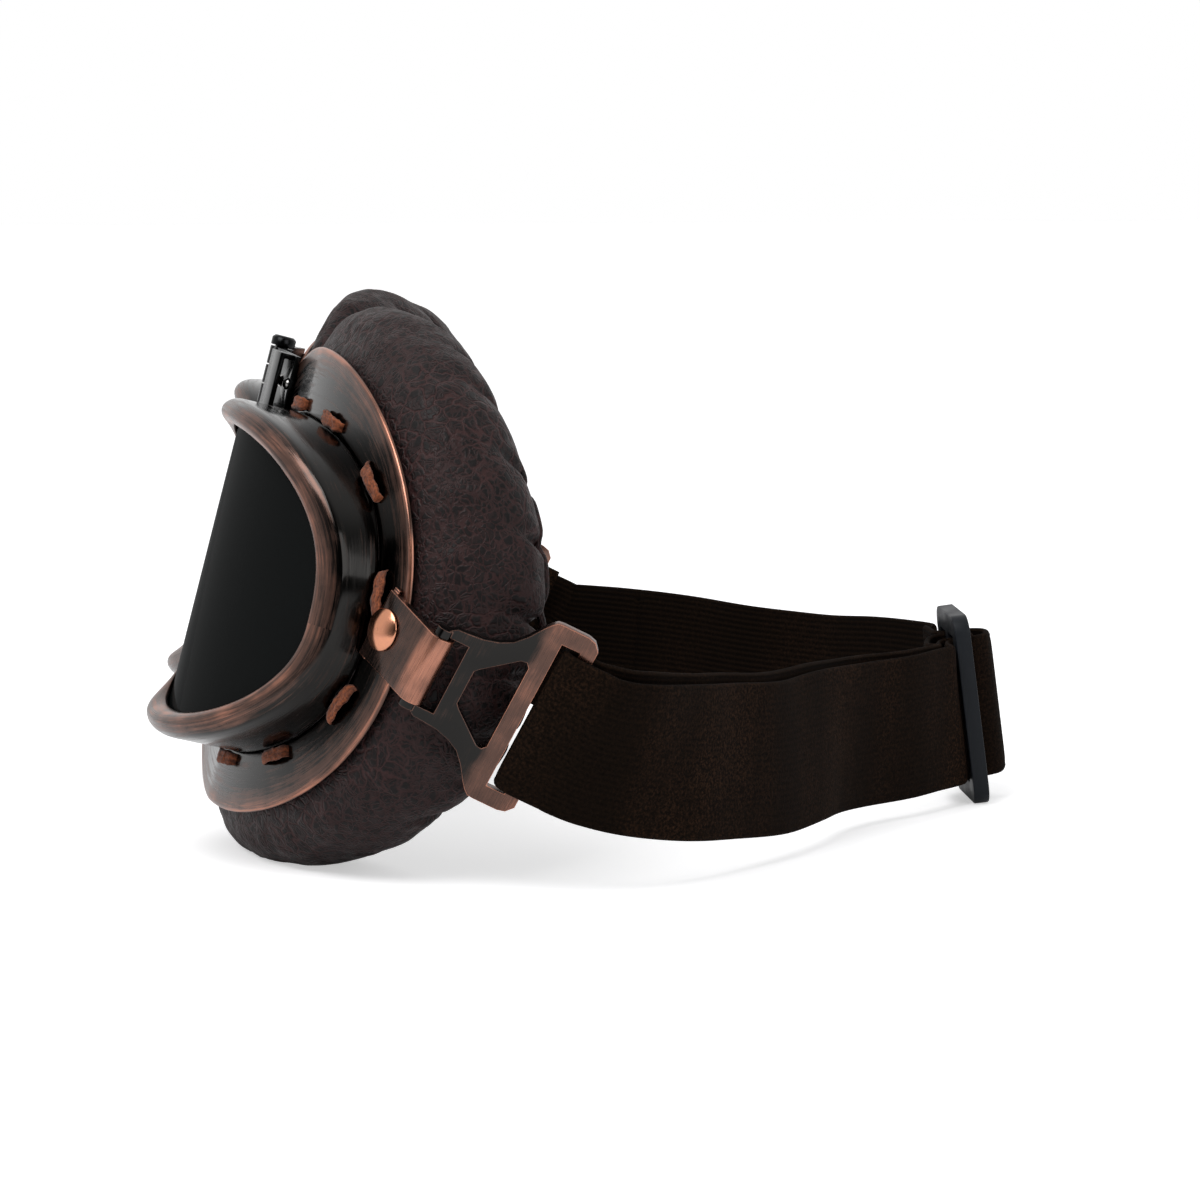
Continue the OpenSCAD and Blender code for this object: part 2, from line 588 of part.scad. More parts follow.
// The inner layer keeps beside the outer one: its distance inwards, and how far it stands higher.
near_last = len(near_mid) - 1;
function near_tan(i) = unit(near_mid[min(i + 1, near_last)] - near_mid[max(i - 1, 0)]);
function layer_gap(x) = lookup(x, [[0, 2 * fold_r], [0.3, 4.2], [0.6, 3.4], [1, 3.1]]);
function layer_rise(x) = lookup(x, [[0, 0], [0.15, 0.8], [0.45, 1.6], [0.8, 0.8], [1, 0]]);
inner_start = 3;
near_inner = [for (i = [inner_start:near_last]) let (x = i / near_last)
    near_mid[i] - unit(cross(near_tan(i), near_up[i])) * layer_gap(x) + near_up[i] * layer_rise(x)];
inner_slide = [[9, -6.7], [4, -6.4], [0, -5.6], [-2.7, -4.1], [-3.9, -1.9], [-3.9, 1.1],
    [-2, 2.9], [2, 2.95], [3.7, 1.4], [3.8, -1.2], [5.4, -3.9], [8.4, -4.7], [12, -4.95]];
inner_route = concat(near_inner, [for (p = inner_slide) slide_pt(p[0], p[1])]);
inner_ups = concat([for (i = [inner_start:near_last]) near_up[i]], [for (p = inner_slide) slider_up]);
function mir(p) = [-p[0], p[1], p[2]];
function far_dir(p) = rx(-lean, rz(-far_fold, mir(rx(lean, p))));
pin_at = [0, pin_v, 0];
function far_pt(p) = to_table(rx(-lean, pin_at + rz(-far_fold, mir(rx(lean, p - table_shift)) - pin_at)));
far_end = slide_pt(-17.5, -3.4);
slide_dir = unit(far_end - slide_pt(-14.5, -3.1));
// The far side is in two lengths: what lies beyond parting_reach from the hinge pin stays behind.
far_nodes = concat([far_end + slide_dir * 0.2, far_end + slide_dir * 5],
    [for (p = [[-35, 148.6, 18.6], [-48, 140.2, 17.6], [-59, 130.6, 17.6], [-69.4, 119.4, 18.6],
        [-78.6, 107.9, 19.6], [-86, 98.8, 20], [-91.2, 93.2, 20.1], [-94.4, 87.2, 20.7]]) route(p)],
    [far_pt(buckle_pt(loop_reach + 3, -fold_r)), far_pt(cut_near)]);
far_turn = [1, 1, 1, 1, 1, 0.97, 0.9, 0.75, 0.5, 0.2, 0.02, 0];
far_ups = smooth([for (k = far_turn) tween(far_dir(bar_up), flat_up, k)], 3);
far_route = smooth(far_nodes, 3);
pin_foot = [-side_shift, pin_v * cos(lean) + hinge_foot * sin(lean) - back_shift, 0];
function reach(p) = norm([p[0] - pin_foot[0], p[1] - pin_foot[1]]);
parting_reach = 126;
function crossing(r) = [for (i = [0:len(far_route) - 2])
    let (a = reach(far_route[i]), b = reach(far_route[i + 1])) if (a > r && b <= r)
        i + (a - r) / (a - b)][0];
function along(P, x) = let (i = floor(x)) P[i] + (P[i + 1] - P[i]) * (x - i);
part_a = crossing(parting_reach);
part_b = crossing(parting_reach - strap_gap);
far_a = concat([for (i = [0:floor(part_a)]) i], [part_a]);
far_b = concat([part_b], [for (i = [ceil(part_b + 0.02):len(far_route) - 1]) i]);
function pick(P, x) = x == floor(x) ? P[x] : along(P, x);

module strap_outer_run() { color("#2a2120") band(outer_route, outer_ups, strap_wide, strap_thick); }
module strap_inner_run() { color("#33292a") band(inner_route, inner_ups, strap_wide, strap_thick); }
module strap_rear_run() {
    color("#2a2120") band([for (i = far_a) pick(far_route, i)], [for (i = far_a) pick(far_ups, i)],
        strap_wide, strap_thick);
}
module strap_far_run() {
    color("#2a2120") band([for (i = far_b) pick(far_route, i)], [for (i = far_b) pick(far_ups, i)],
        strap_wide, strap_thick);
}

// Nose hinge, in the leaning frame before the toe angle: pin at x = 0.
hinge_mid = hinge_foot + hinge_high / 2;
hinge_rivet = 1.6;
leaf_near = -31;
leaf_far = -24;
leaf_reach = -20.5;
module lean_place() { table_place() rotate([-lean, 0, 0]) children(); }
module knuckle(z0, h) {
    translate([0, pin_v, z0]) difference() {
        cylinder(h = h, d = knuckle_round);
        translate([0, 0, -1]) cylinder(h = h + 2, r = pin_round / 2 + pin_clear);
    }
}
third = (hinge_high - 2 * knuckle_gap) / 3;
module leaf_plate() {
    eyecup_flat() translate([leaf_reach, plate_face(leaf_reach), hinge_foot])
        rotate([0, 0, -atan(wing_slope)])
            translate([-28, -leaf_thick - 0.03, 0]) cube([28, leaf_thick, hinge_high]);
}
module eyecup_flat() { translate([eye_offset, 0, 0]) rotate([0, 0, toe]) children(); }
module leaf(knuckles, colour) {
    color(colour) difference() {
        union() {
            difference() {
                leaf_plate();
                translate([0, pin_v, 0]) cylinder(h = 120, d = knuckle_round + 2 * knuckle_gap, center = true);
                translate([-20, -20, 0]) cube([20, 60, 100]);
            }
            for (k = knuckles) {
                z0 = hinge_foot + k * (third + knuckle_gap);
                knuckle(z0, third);
                difference() {
                    translate([0.4, pin_v - 1.7, z0]) cube([4.4, leaf_thick, third]);
                    translate([0, pin_v, z0 - 1]) cylinder(h = third + 2, r = pin_round / 2 + pin_clear);
                }
            }
        }
        eyecup_flat() hinge_holes(hinge_rivet);
    }
}
module keeper() {
    color("#3a3a3c") eyecup_flat() translate([-27.5, plate_face(-27.5), hinge_mid])
        rotate([0, 0, -atan(wing_slope)]) translate([0, -leaf_thick - 0.06, 0]) difference() {
            translate([-5.2, -2.8, -hinge_high / 2]) cube([10.4, 2.8, hinge_high]);
            translate([-6, -2.8 + leaf_thick, -hinge_high / 2 + leaf_thick])
                cube([12, 3, hinge_high - 2 * leaf_thick]);
        }
}
module hinge_rivets() {
    color("#a8a29a") eyecup_flat() for (x = [leaf_near, leaf_far])
        translate([x, plate_face(x), hinge_mid]) rotate([0, 0, -atan(wing_slope)]) rotate([90, 0, 0]) {
            translate([0, 0, -sheet]) cylinder(h = sheet + leaf_thick + 0.3, d = hinge_rivet, $fn = 32);
            translate([0, 0, leaf_thick + 0.03]) intersection() {
                translate([0, 0, -0.5]) sphere(r = 1.3, $fn = 40);
                cylinder(h = 2, r = 1.2, $fn = 40);
            }
        }
}
module hinge_pin() {
    color("#55504c") lean_place() translate([0, pin_v, 0]) {
        translate([0, 0, hinge_foot - 0.8]) cylinder(h = hinge_high + 1.4, d = pin_round);
        translate([0, 0, hinge_foot - 1.4]) cylinder(h = 1.1, d = pin_round + 1);
        translate([0, 0, hinge_foot + hinge_high + 0.3]) {
            cylinder(h = 1.5, d = pin_head);
            translate([0, 0, 1.5]) cylinder(h = 0.5, d1 = pin_head, d2 = pin_head - 1);
        }
    }
}
module left_pad() { color("#2b2022") intersection() { left() pad_skin(); above_table(); } }
module right_pad() { color("#2b2022") intersection() { right() pad_skin(); above_table(); } }

left() flange();  // left_flange
left() housing();  // left_housing
left() lens();  // left_lens
left() gasket();  // left_gasket
left_pad();
left() lace();  // left_lace
left() tab();  // left_tab
left() rivet();  // left_rivet
left() buckle_place() buckle();  // left_buckle
strap_loop();  // left_strap_loop
right() flange();  // right_flange
right() housing();  // right_housing
right() lens();  // right_lens
right() gasket();  // right_gasket
right_pad();
right() lace();  // right_lace
right() tab();  // right_tab
right() rivet();  // right_rivet
right() buckle_place() buckle();  // right_buckle
far_place() rotate([lean, 0, 0])  // right_strap_loop
    translate([side_shift, back_shift, -eye_height]) strap_loop();
lean_place() leaf([0, 2], "#4d4a48");  // left_hinge_leaf
far_place() leaf([1], "#56514e");  // right_hinge_leaf
lean_place() keeper();  // left_keeper
far_place() keeper();  // right_keeper
lean_place() hinge_rivets();  // left_hinge_rivets
far_place() hinge_rivets();  // right_hinge_rivets
hinge_pin();
strap_outer_run();
strap_inner_run();
strap_rear_run();
strap_far_run();
slider();
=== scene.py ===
"""Looks of the folding riding goggles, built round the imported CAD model.

Metres throughout, in the CAD's own frame: +Z up, -Y the way the wearer faces, +X the wearer's left.
"""

import logging
import math
from dataclasses import dataclass
from enum import Enum
from typing import Callable, Optional, Sequence

import bmesh
import bpy
import numpy as np
from mathutils import Matrix, Vector, noise


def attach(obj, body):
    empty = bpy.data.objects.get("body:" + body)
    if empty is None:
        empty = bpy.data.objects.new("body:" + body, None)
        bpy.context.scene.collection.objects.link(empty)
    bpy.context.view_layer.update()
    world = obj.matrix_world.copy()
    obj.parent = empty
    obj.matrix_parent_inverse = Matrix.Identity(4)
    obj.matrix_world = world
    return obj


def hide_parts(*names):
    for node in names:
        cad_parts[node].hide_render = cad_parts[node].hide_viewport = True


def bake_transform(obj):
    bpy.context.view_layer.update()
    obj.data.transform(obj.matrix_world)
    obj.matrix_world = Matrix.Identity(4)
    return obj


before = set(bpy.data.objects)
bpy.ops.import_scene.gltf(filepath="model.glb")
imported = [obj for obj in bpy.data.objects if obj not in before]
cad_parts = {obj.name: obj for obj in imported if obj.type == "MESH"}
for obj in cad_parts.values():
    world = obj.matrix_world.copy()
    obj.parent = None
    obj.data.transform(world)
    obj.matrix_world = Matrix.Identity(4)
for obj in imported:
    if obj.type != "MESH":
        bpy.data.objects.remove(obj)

MM = 0.001
LOG = logging.getLogger("goggles")

Ring = list[Vector]


class Side(Enum):
    """Which of the two eyecups a piece belongs to."""

    LEFT = 1
    RIGHT = -1

    @property
    def word(self) -> str:
        """The side's word as the CAD's names begin with it."""
        return self.name.lower()

    @property
    def eyecup(self) -> str:
        """The body of this side's eyecup."""
        return f"{self.word}_eyecup"

    @property
    def buckle(self) -> str:
        """The body of this side's buckle."""
        return f"{self.word}_buckle_body"


class Worn(Enum):
    """Where the dark lacquer of a copper piece is rubbed through."""

    CREST = "crest"
    RIM = "rim"
    FAR_END = "far_end"
    FOLD = "fold"
    EDGES = "edges"


@dataclass(frozen=True)
class Rig:
    """How an eyecup stands in the whole: the same lean, toe and places as in the CAD, in mm and degrees."""

    lean: float = 14.6
    toe: float = 10.2
    eye_offset: float = 50.0
    back_shift: float = 78.0
    eye_height: float = 52.5
    side_shift: float = 5.93
    far_fold: float = 11.0
    pin_depth: float = 8.2

    def leaning(self) -> Matrix:
        """The transform from the leaning frame of the nose pin to the shared frame, all in mm."""
        place = Matrix.Translation((-self.side_shift, -self.back_shift, self.eye_height))
        return place @ Matrix.Rotation(-math.radians(self.lean), 4, "X")

    def folded(self) -> Matrix:
        """The mirroring and the fold about the nose pin that make the right eyecup, in the leaning frame."""
        pin = Matrix.Translation((0, self.pin_depth, 0))
        turn = Matrix.Rotation(-math.radians(self.far_fold), 4, "Z")
        return pin @ turn @ pin.inverted() @ Matrix.Diagonal((-1, 1, 1, 1))

    def far_side(self) -> Matrix:
        """The transform that takes a point on the left to its place on the folded right side, in mm."""
        return self.leaning() @ self.folded() @ self.leaning().inverted()

    def matrix(self, side: Side) -> Matrix:
        """The transform from an eyecup's own millimetres to the shared frame.

        Args:
            side: The eyecup.

        Returns:
            A matrix that also mirrors and folds for the right eyecup.
        """
        place = self.leaning() if side is Side.LEFT else self.leaning() @ self.folded()
        place = place @ Matrix.Translation((self.eye_offset, 0, 0))
        return Matrix.Scale(MM, 4) @ place @ Matrix.Rotation(math.radians(self.toe), 4, "Z")


@dataclass(frozen=True)
class BuckleRig:
    """The frame of the left buckle's turning bar: x towards the strap, z along the bar."""

    rig: Rig
    middle: tuple[float, float, float] = (99.471, -41.6965, 42.0046)
    along: tuple[float, float, float] = (0.0493794, 0.894043, -0.44525)
    across: tuple[float, float, float] = (-0.959187, 0.166721, 0.228393)
    up: tuple[float, float, float] = (0.278426, 0.415801, 0.865788)

    def matrix(self, side: Side) -> Matrix:
        """The transform from the buckle's own millimetres to the shared frame.

        Args:
            side: The buckle's side.

        Returns:
            A matrix that also mirrors and folds for the right buckle.
        """
        columns = Matrix((self.along, self.across, self.up)).transposed().to_4x4()
        place = Matrix.Translation(self.middle) @ columns
        if side is Side.RIGHT:
            place = self.rig.far_side() @ place
        return Matrix.Scale(MM, 4) @ place

    def point(self, x: float, y: float) -> Vector:
        """A point in the left buckle's plane, in mm.

        Args:
            x: Distance from the turning bar towards the strap.
            y: Distance through the plate, inwards.

        Returns:
            The point in the shared frame, in mm.
        """
        return Vector(self.middle) + Vector(self.along) * x + Vector(self.across) * y


# ---- node trees ----


class Recipe:
    """A material's node tree, with short calls for the nodes that the finishes use."""

    def __init__(self, name: str) -> None:
        """Starts an empty tree with a Principled shader.

        Args:
            name: The material's name.
        """
        self.material = bpy.data.materials.new(name)
        self.material.use_nodes = True
        self.tree = self.material.node_tree
        self.tree.nodes.clear()
        self.output = self.tree.nodes.new("ShaderNodeOutputMaterial")
        self.shader = self.tree.nodes.new("ShaderNodeBsdfPrincipled")
        self.tree.links.new(self.shader.outputs[0], self.output.inputs[0])

    def node(self, kind: str, **settings: object) -> bpy.types.Node:
        """Adds a node and sets its properties.

        Args:
            kind: The node's type without its ShaderNode prefix.
            **settings: Properties to set.

        Returns:
            The node.
        """
        made = self.tree.nodes.new("ShaderNode" + kind)
        for key, value in settings.items():
            setattr(made, key, value)
        return made

    def feed(self, socket: bpy.types.NodeSocket, value: object) -> None:
        """Links a socket to another or gives it a constant.

        Args:
            socket: The input socket.
            value: An output socket, a number or a tuple.
        """
        if isinstance(value, bpy.types.NodeSocket):
            self.tree.links.new(value, socket)
        elif isinstance(value, (tuple, list)) and len(value) == 3 and socket.type == "RGBA":
            socket.default_value = (*value, 1.0)
        else:
            socket.default_value = value

    def set(self, **values: object) -> None:
        """Sets the Principled shader's sockets, named with underscores for spaces.

        Args:
            **values: Socket names and their values.
        """
        for key, value in values.items():
            self.feed(self.shader.inputs[key.replace("_", " ")], value)

    def math(self, operation: str, a: object, b: object = 0.0, clamp: bool = False) -> bpy.types.NodeSocket:
        """A Math node.

        Args:
            operation: The operation's name.
            a: First value.
            b: Second value.
            clamp: Whether the result is kept from 0 to 1.

        Returns:
            The result's socket.
        """
        made = self.node("Math", operation=operation, use_clamp=clamp)
        self.feed(made.inputs[0], a)
        self.feed(made.inputs[1], b)
        return made.outputs[0]

    def span(self, value: object, low: float, high: float, to_low: float = 0.0, to_high: float = 1.0) -> bpy.types.NodeSocket:
        """A smooth map from one range to another.

        Args:
            value: The input.
            low: Start of the input's range.
            high: End of the input's range.
            to_low: Result at the start.
            to_high: Result at the end.

        Returns:
            The result's socket.
        """
        made = self.node("MapRange", interpolation_type="SMOOTHSTEP")
        for socket, item in zip(made.inputs, (value, low, high, to_low, to_high)):
            self.feed(socket, item)
        return made.outputs[0]

    def mix(self, share: object, a: object, b: object) -> bpy.types.NodeSocket:
        """Mixes two colours.

        Args:
            share: How much of the second.
            a: First colour.
            b: Second colour.

        Returns:
            The result's socket.
        """
        made = self.node("Mix", data_type="RGBA")
        self.feed(made.inputs[0], share)
        self.feed(made.inputs[6], a)
        self.feed(made.inputs[7], b)
        return made.outputs[2]

    def place(self, scale: Sequence[float] = (1, 1, 1), source: str = "Object", turn: Sequence[float] = (0, 0, 0)) -> bpy.types.NodeSocket:
        """Coordinates of the surface, stretched.

        Args:
            scale: Stretch along each axis.
            source: Object, UV, or the name of an attribute.
            turn: Turn about each axis in degrees.

        Returns:
            The coordinates' socket.
        """
        if source in ("Object", "UV"):
            start = self.node("TexCoord").outputs[source]
        else:
            start = self.node("Attribute", attribute_name=source).outputs["Vector"]
        mapping = self.node("Mapping")
        self.feed(mapping.inputs["Vector"], start)
        mapping.inputs["Scale"].default_value = scale
        mapping.inputs["Rotation"].default_value = [math.radians(a) for a in turn]
        return mapping.outputs[0]

    def noise(self, where: object, scale: float, detail: float = 3.0, rough: float = 0.55, distortion: float = 0.0) -> bpy.types.NodeSocket:
        """Noise between 0 and 1.

        Args:
            where: Coordinates.
            scale: Waves per unit.
            detail: Number of finer octaves.
            rough: How strong these are.
            distortion: How far the coordinates are bent.

        Returns:
            The noise's socket.
        """
        made = self.node("TexNoise")
        for key, value in (("Vector", where), ("Scale", scale), ("Detail", detail), ("Roughness", rough), ("Distortion", distortion)):
            self.feed(made.inputs[key], value)
        return made.outputs[0]

    def cells(self, where: object, scale: float, feature: str = "DISTANCE_TO_EDGE") -> bpy.types.NodeSocket:
        """A Voronoi pattern.

        Args:
            where: Coordinates.
            scale: Cells per unit.
            feature: What is measured.

        Returns:
            The distance's socket.
        """
        made = self.node("TexVoronoi", feature=feature)
        self.feed(made.inputs["Vector"], where)
        self.feed(made.inputs["Scale"], scale)
        return made.outputs["Distance"]

    def attribute(self, name: str) -> bpy.types.NodeSocket:
        """A number stored on the mesh.

        Args:
            name: The attribute's name.

        Returns:
            Its socket.
        """
        return self.node("Attribute", attribute_name=name).outputs["Fac"]

    def bump(self, height: object, strength: float, depth: float) -> None:
        """Sets the shader's normal from a height.

        Args:
            height: Height between 0 and 1.
            strength: How strong the effect is.
            depth: What a height of 1 stands for, in metres.
        """
        made = self.node("Bump")
        self.feed(made.inputs["Strength"], strength)
        self.feed(made.inputs["Distance"], depth)
        self.feed(made.inputs["Height"], height)
        self.tree.links.new(made.outputs[0], self.shader.inputs["Normal"])


@dataclass(frozen=True)
class AgedCopper:
    """Copper under dark lacquer that is brushed and rubbed through."""

    worn: Worn
    lacquer: tuple[float, float, float] = (0.0175, 0.0165, 0.0155)
    brown: tuple[float, float, float] = (0.112, 0.062, 0.048)
    copper: tuple[float, float, float] = (0.52, 0.225, 0.148)

    def rubbed(self, recipe: Recipe) -> bpy.types.NodeSocket:
        """How far the lacquer is rubbed through, from 0 to 1.

        Args:
            recipe: The tree to add to.

        Returns:
            The mask's socket.
        """
        edge = recipe.attribute("edge")
        if self.worn in (Worn.CREST, Worn.RIM):
            return recipe.attribute("wear")
        local = recipe.node("SeparateXYZ")
        recipe.feed(local.inputs[0], recipe.node("Attribute", attribute_name="own").outputs["Vector"])
        u, _, w = local.outputs
        if self.worn is Worn.FAR_END:
            base = recipe.span(u, 14.4, 17.4, 0.06, 0.5)
        elif self.worn is Worn.FOLD:
            base = recipe.math("ADD", 0.3, recipe.span(u, 8.6, 10.6, 0.0, 0.4))
        else:
            base = recipe.math("ADD", 0.2, 0.0)
        return recipe.math("ADD", base, recipe.math("MULTIPLY", edge, 0.45))

    def make(self) -> bpy.types.Material:
        """Builds the material."""
        recipe = Recipe(f"aged_copper_{self.worn.value}")
        swept = self.worn in (Worn.CREST, Worn.RIM)
        along = recipe.place((70, 1500, 1), "UV") if swept else recipe.place((4.5, 4.5, 0.22), "own", (0, 24, 0))
        cloud = recipe.place((1, 1, 1), "UV") if swept else recipe.place((0.001, 0.001, 0.001), "own")
        streak = recipe.span(recipe.noise(along, 1.0, 4.0, 0.65, 0.3), 0.3, 0.7)
        haze = recipe.span(recipe.noise(cloud, 130.0, 3.0), 0.3, 0.7)
        rub = recipe.math("ADD", self.rubbed(recipe), recipe.math("MULTIPLY", recipe.math("SUBTRACT", streak, 0.5), 0.36 if swept else 0.16))
        rub = recipe.math("ADD", rub, recipe.math("MULTIPLY", recipe.math("SUBTRACT", haze, 0.5), 0.22), True)
        warm = recipe.mix(recipe.span(rub, 0.08, 0.5), self.lacquer, self.brown)
        recipe.set(
            Base_Color=recipe.mix(recipe.span(rub, 0.42, 1.0), warm, self.copper),
            Metallic=1.0,
            Roughness=recipe.math("ADD", recipe.span(rub, 0.0, 0.4, 0.1, 0.24), recipe.math("MULTIPLY", streak, 0.12)),
            Coat_Weight=0.2,
            Coat_Roughness=0.08,
        )
        recipe.bump(streak, 0.13, 0.00005)
        return recipe.material


@dataclass(frozen=True)
class PolishedCopper:
    """Bright copper of the rivet heads."""

    colour: tuple[float, float, float] = (0.70, 0.31, 0.18)

    def make(self) -> bpy.types.Material:
        """Builds the material."""
        recipe = Recipe("polished_copper")
        fine = recipe.noise(recipe.place(), 900.0, 3.0)
        recipe.set(
            Base_Color=recipe.mix(recipe.span(fine, 0.3, 0.75), self.colour, (0.66, 0.29, 0.18)),
            Metallic=1.0,
            Roughness=recipe.math("ADD", 0.12, recipe.math("MULTIPLY", fine, 0.16)),
        )
        recipe.bump(fine, 0.12, 0.00008)
        return recipe.material


@dataclass(frozen=True)
class DarkPlating:
    """Dark satin metal of the hinge."""

    name: str
    colour: tuple[float, float, float]
    rough: float = 0.24

    def make(self) -> bpy.types.Material:
        """Builds the material."""
        recipe = Recipe(self.name)
        streak = recipe.noise(recipe.place((1, 1, 0.1)), 2600.0, 3.0)
        haze = recipe.noise(recipe.place(), 220.0, 2.0)
        recipe.set(
            Base_Color=recipe.mix(haze, self.colour, tuple(c * 1.7 for c in self.colour)),
            Metallic=1.0,
            Roughness=recipe.math("ADD", self.rough, recipe.math("MULTIPLY", streak, 0.14)),
        )
        recipe.bump(streak, 0.08, 0.00005)
        return recipe.material


@dataclass(frozen=True)
class SmokedLens:
    """Smoked clear sheet of the lenses."""

    tint: tuple[float, float, float] = (0.0055, 0.0062, 0.0062)

    def make(self) -> bpy.types.Material:
        """Builds the material."""
        recipe = Recipe("smoked_lens")
        film = recipe.noise(recipe.place(), 60.0, 2.0)
        recipe.set(
            Base_Color=self.tint,
            Roughness=recipe.span(film, 0.2, 0.8, 0.025, 0.06),
            Transmission_Weight=0.1,
            IOR=1.4,
            Specular_IOR_Level=0.0,
        )
        return recipe.material


@dataclass(frozen=True)
class MattRubber:
    """Black rubber of the lens gaskets."""

    colour: tuple[float, float, float] = (0.012, 0.012, 0.012)

    def make(self) -> bpy.types.Material:
        """Builds the material."""
        recipe = Recipe("matt_rubber")
        fine = recipe.noise(recipe.place(), 1500.0, 3.0)
        recipe.set(Base_Color=self.colour, Roughness=recipe.span(fine, 0.2, 0.8, 0.55, 0.75))
        recipe.bump(fine, 0.15, 0.0001)
        return recipe.material


@dataclass(frozen=True)
class CrackedLeather:
    """Soft dark brown leather with a crackled grain in which a redder brown shows."""

    deep: tuple[float, float, float] = (0.0034, 0.0025, 0.0026)
    face: tuple[float, float, float] = (0.0088, 0.0060, 0.0061)
    crack: tuple[float, float, float] = (0.052, 0.0210, 0.0200)

    def make(self) -> bpy.types.Material:
        """Builds the material."""
        recipe = Recipe("cracked_leather")
        where = recipe.place()
        bend = recipe.node("TexNoise")
        recipe.feed(bend.inputs["Vector"], where)
        recipe.feed(bend.inputs["Scale"], 260.0)
        recipe.feed(bend.inputs["Detail"], 3.0)
        push = recipe.node("VectorMath", operation="MULTIPLY_ADD")
        recipe.feed(push.inputs[0], bend.outputs[1])
        push.inputs[1].default_value = (0.0042, 0.0042, 0.0042)
        recipe.feed(push.inputs[2], where)
        bent = push.outputs[0]
        coarse = recipe.cells(bent, 300.0)
        small = recipe.cells(bent, 720.0)
        patch = recipe.noise(where, 45.0, 2.0)
        pores = recipe.noise(where, 2600.0, 2.0)
        lines = recipe.math("MULTIPLY", recipe.span(coarse, 0.0, 0.13, 1.0, 0.0), recipe.span(patch, 0.34, 0.58, 0.25, 1.0))
        threads = recipe.math("MULTIPLY", recipe.span(small, 0.0, 0.2, 1.0, 0.0), recipe.span(patch, 0.7, 0.3, 0.35, 0.8))
        seams = recipe.math("MAXIMUM", lines, threads)
        tone = recipe.noise(where, 34.0, 3.0)
        skin = recipe.mix(recipe.span(tone, 0.32, 0.7), self.deep, self.face)
        recipe.set(
            Base_Color=recipe.mix(recipe.math("MULTIPLY", seams, 0.7), skin, self.crack),
            Roughness=recipe.span(recipe.noise(where, 420.0, 3.0), 0.3, 0.7, 0.42, 0.6),
            Specular_IOR_Level=0.17,
        )
        height = recipe.math("SUBTRACT", recipe.math("MULTIPLY", pores, 0.18), recipe.math("MULTIPLY", seams, 0.8))
        recipe.bump(height, 0.75, 0.0003)
        return recipe.material


@dataclass(frozen=True)
class RustSuede:
    """Rust brown suede of the lace."""

    light: tuple[float, float, float] = (0.33, 0.088, 0.029)
    dark: tuple[float, float, float] = (0.042, 0.011, 0.005)

    def make(self) -> bpy.types.Material:
        """Builds the material."""
        recipe = Recipe("rust_suede")
        where = recipe.place()
        strands = recipe.noise(recipe.place((90, 700, 1), "UV"), 1.0, 3.0, 0.6, 0.6)
        fuzz = recipe.noise(where, 2400.0, 4.0)
        shade = recipe.math("ADD", recipe.math("MULTIPLY", strands, 0.65), recipe.math("MULTIPLY", fuzz, 0.35))
        recipe.set(
            Base_Color=recipe.mix(recipe.span(shade, 0.36, 0.62), self.dark, self.light),
            Roughness=0.95,
            Sheen_Weight=0.12,
            Sheen_Roughness=0.5,
        )
        recipe.bump(shade, 0.8, 0.0005)
        return recipe.material


@dataclass(frozen=True)
class BrownElastic:
    """Woven elastic: ribs along its length under a short fuzz, with painted light and shade in soft bands across it."""

    yarn: tuple[float, float, float] = (0.0082, 0.0047, 0.0028)
    gap: tuple[float, float, float] = (0.0030, 0.0018, 0.0012)
    fuzz: tuple[float, float, float] = (0.036, 0.0175, 0.0095)
    rib: float = 1.15

    def make(self) -> bpy.types.Material:
        """Builds the material."""
        recipe = Recipe("brown_elastic")
        across = recipe.node("SeparateXYZ")
        recipe.feed(across.inputs[0], recipe.node("TexCoord").outputs["UV"])
        along, over, _ = across.outputs
        turn = 2 * math.pi / (self.rib * MM)
        wave = recipe.math("ADD", recipe.math("MULTIPLY", recipe.math("SINE", recipe.math("MULTIPLY", over, turn)), 0.5), 0.5)
        weft = recipe.math("ADD", recipe.math("MULTIPLY", recipe.math("SINE", recipe.math("MULTIPLY", along, turn * 2.2)), 0.5), 0.5)
        where = recipe.place()
        hairs = recipe.noise(where, 1900.0, 4.0, 0.7)
        cloud = recipe.noise(where, 120.0, 3.0)
        soft = recipe.attribute("nap")
        body = recipe.math("MULTIPLY", wave, recipe.math("ADD", 0.7, recipe.math("MULTIPLY", weft, 0.3)))
        body = recipe.math("MULTIPLY", body, recipe.span(soft, 0.2, 1.0, 0.62, 0.16))
        body = recipe.math("ADD", body, recipe.math("MULTIPLY", hairs, recipe.span(soft, 0.2, 1.0, 0.38, 0.8)))
        woven = recipe.mix(recipe.span(body, 0.2, 0.7), self.gap, self.yarn)
        # Soft bands across the strap, lighter and darker along its length: painted light and shade standing in for the
        # soft folds and the sheen of the nap.
        painted_light_bands = recipe.span(recipe.noise(recipe.place((38, 7, 1), "UV"), 1.0, 2.0), 0.34, 0.66, 0.12, 1.6)
        tuft = recipe.math("MULTIPLY", recipe.span(hairs, 0.42, 0.72), recipe.math("ADD", 0.25, recipe.math("MULTIPLY", soft, 0.55)))
        recipe.set(
            Base_Color=recipe.mix(recipe.math("MULTIPLY", tuft, recipe.math("MULTIPLY", painted_light_bands, recipe.span(cloud, 0.25, 0.75, 0.6, 1.0)), True), woven, self.fuzz),
            Roughness=0.92,
            Specular_IOR_Level=0.05,
        )
        recipe.bump(body, 0.7, 0.0003)
        return recipe.material


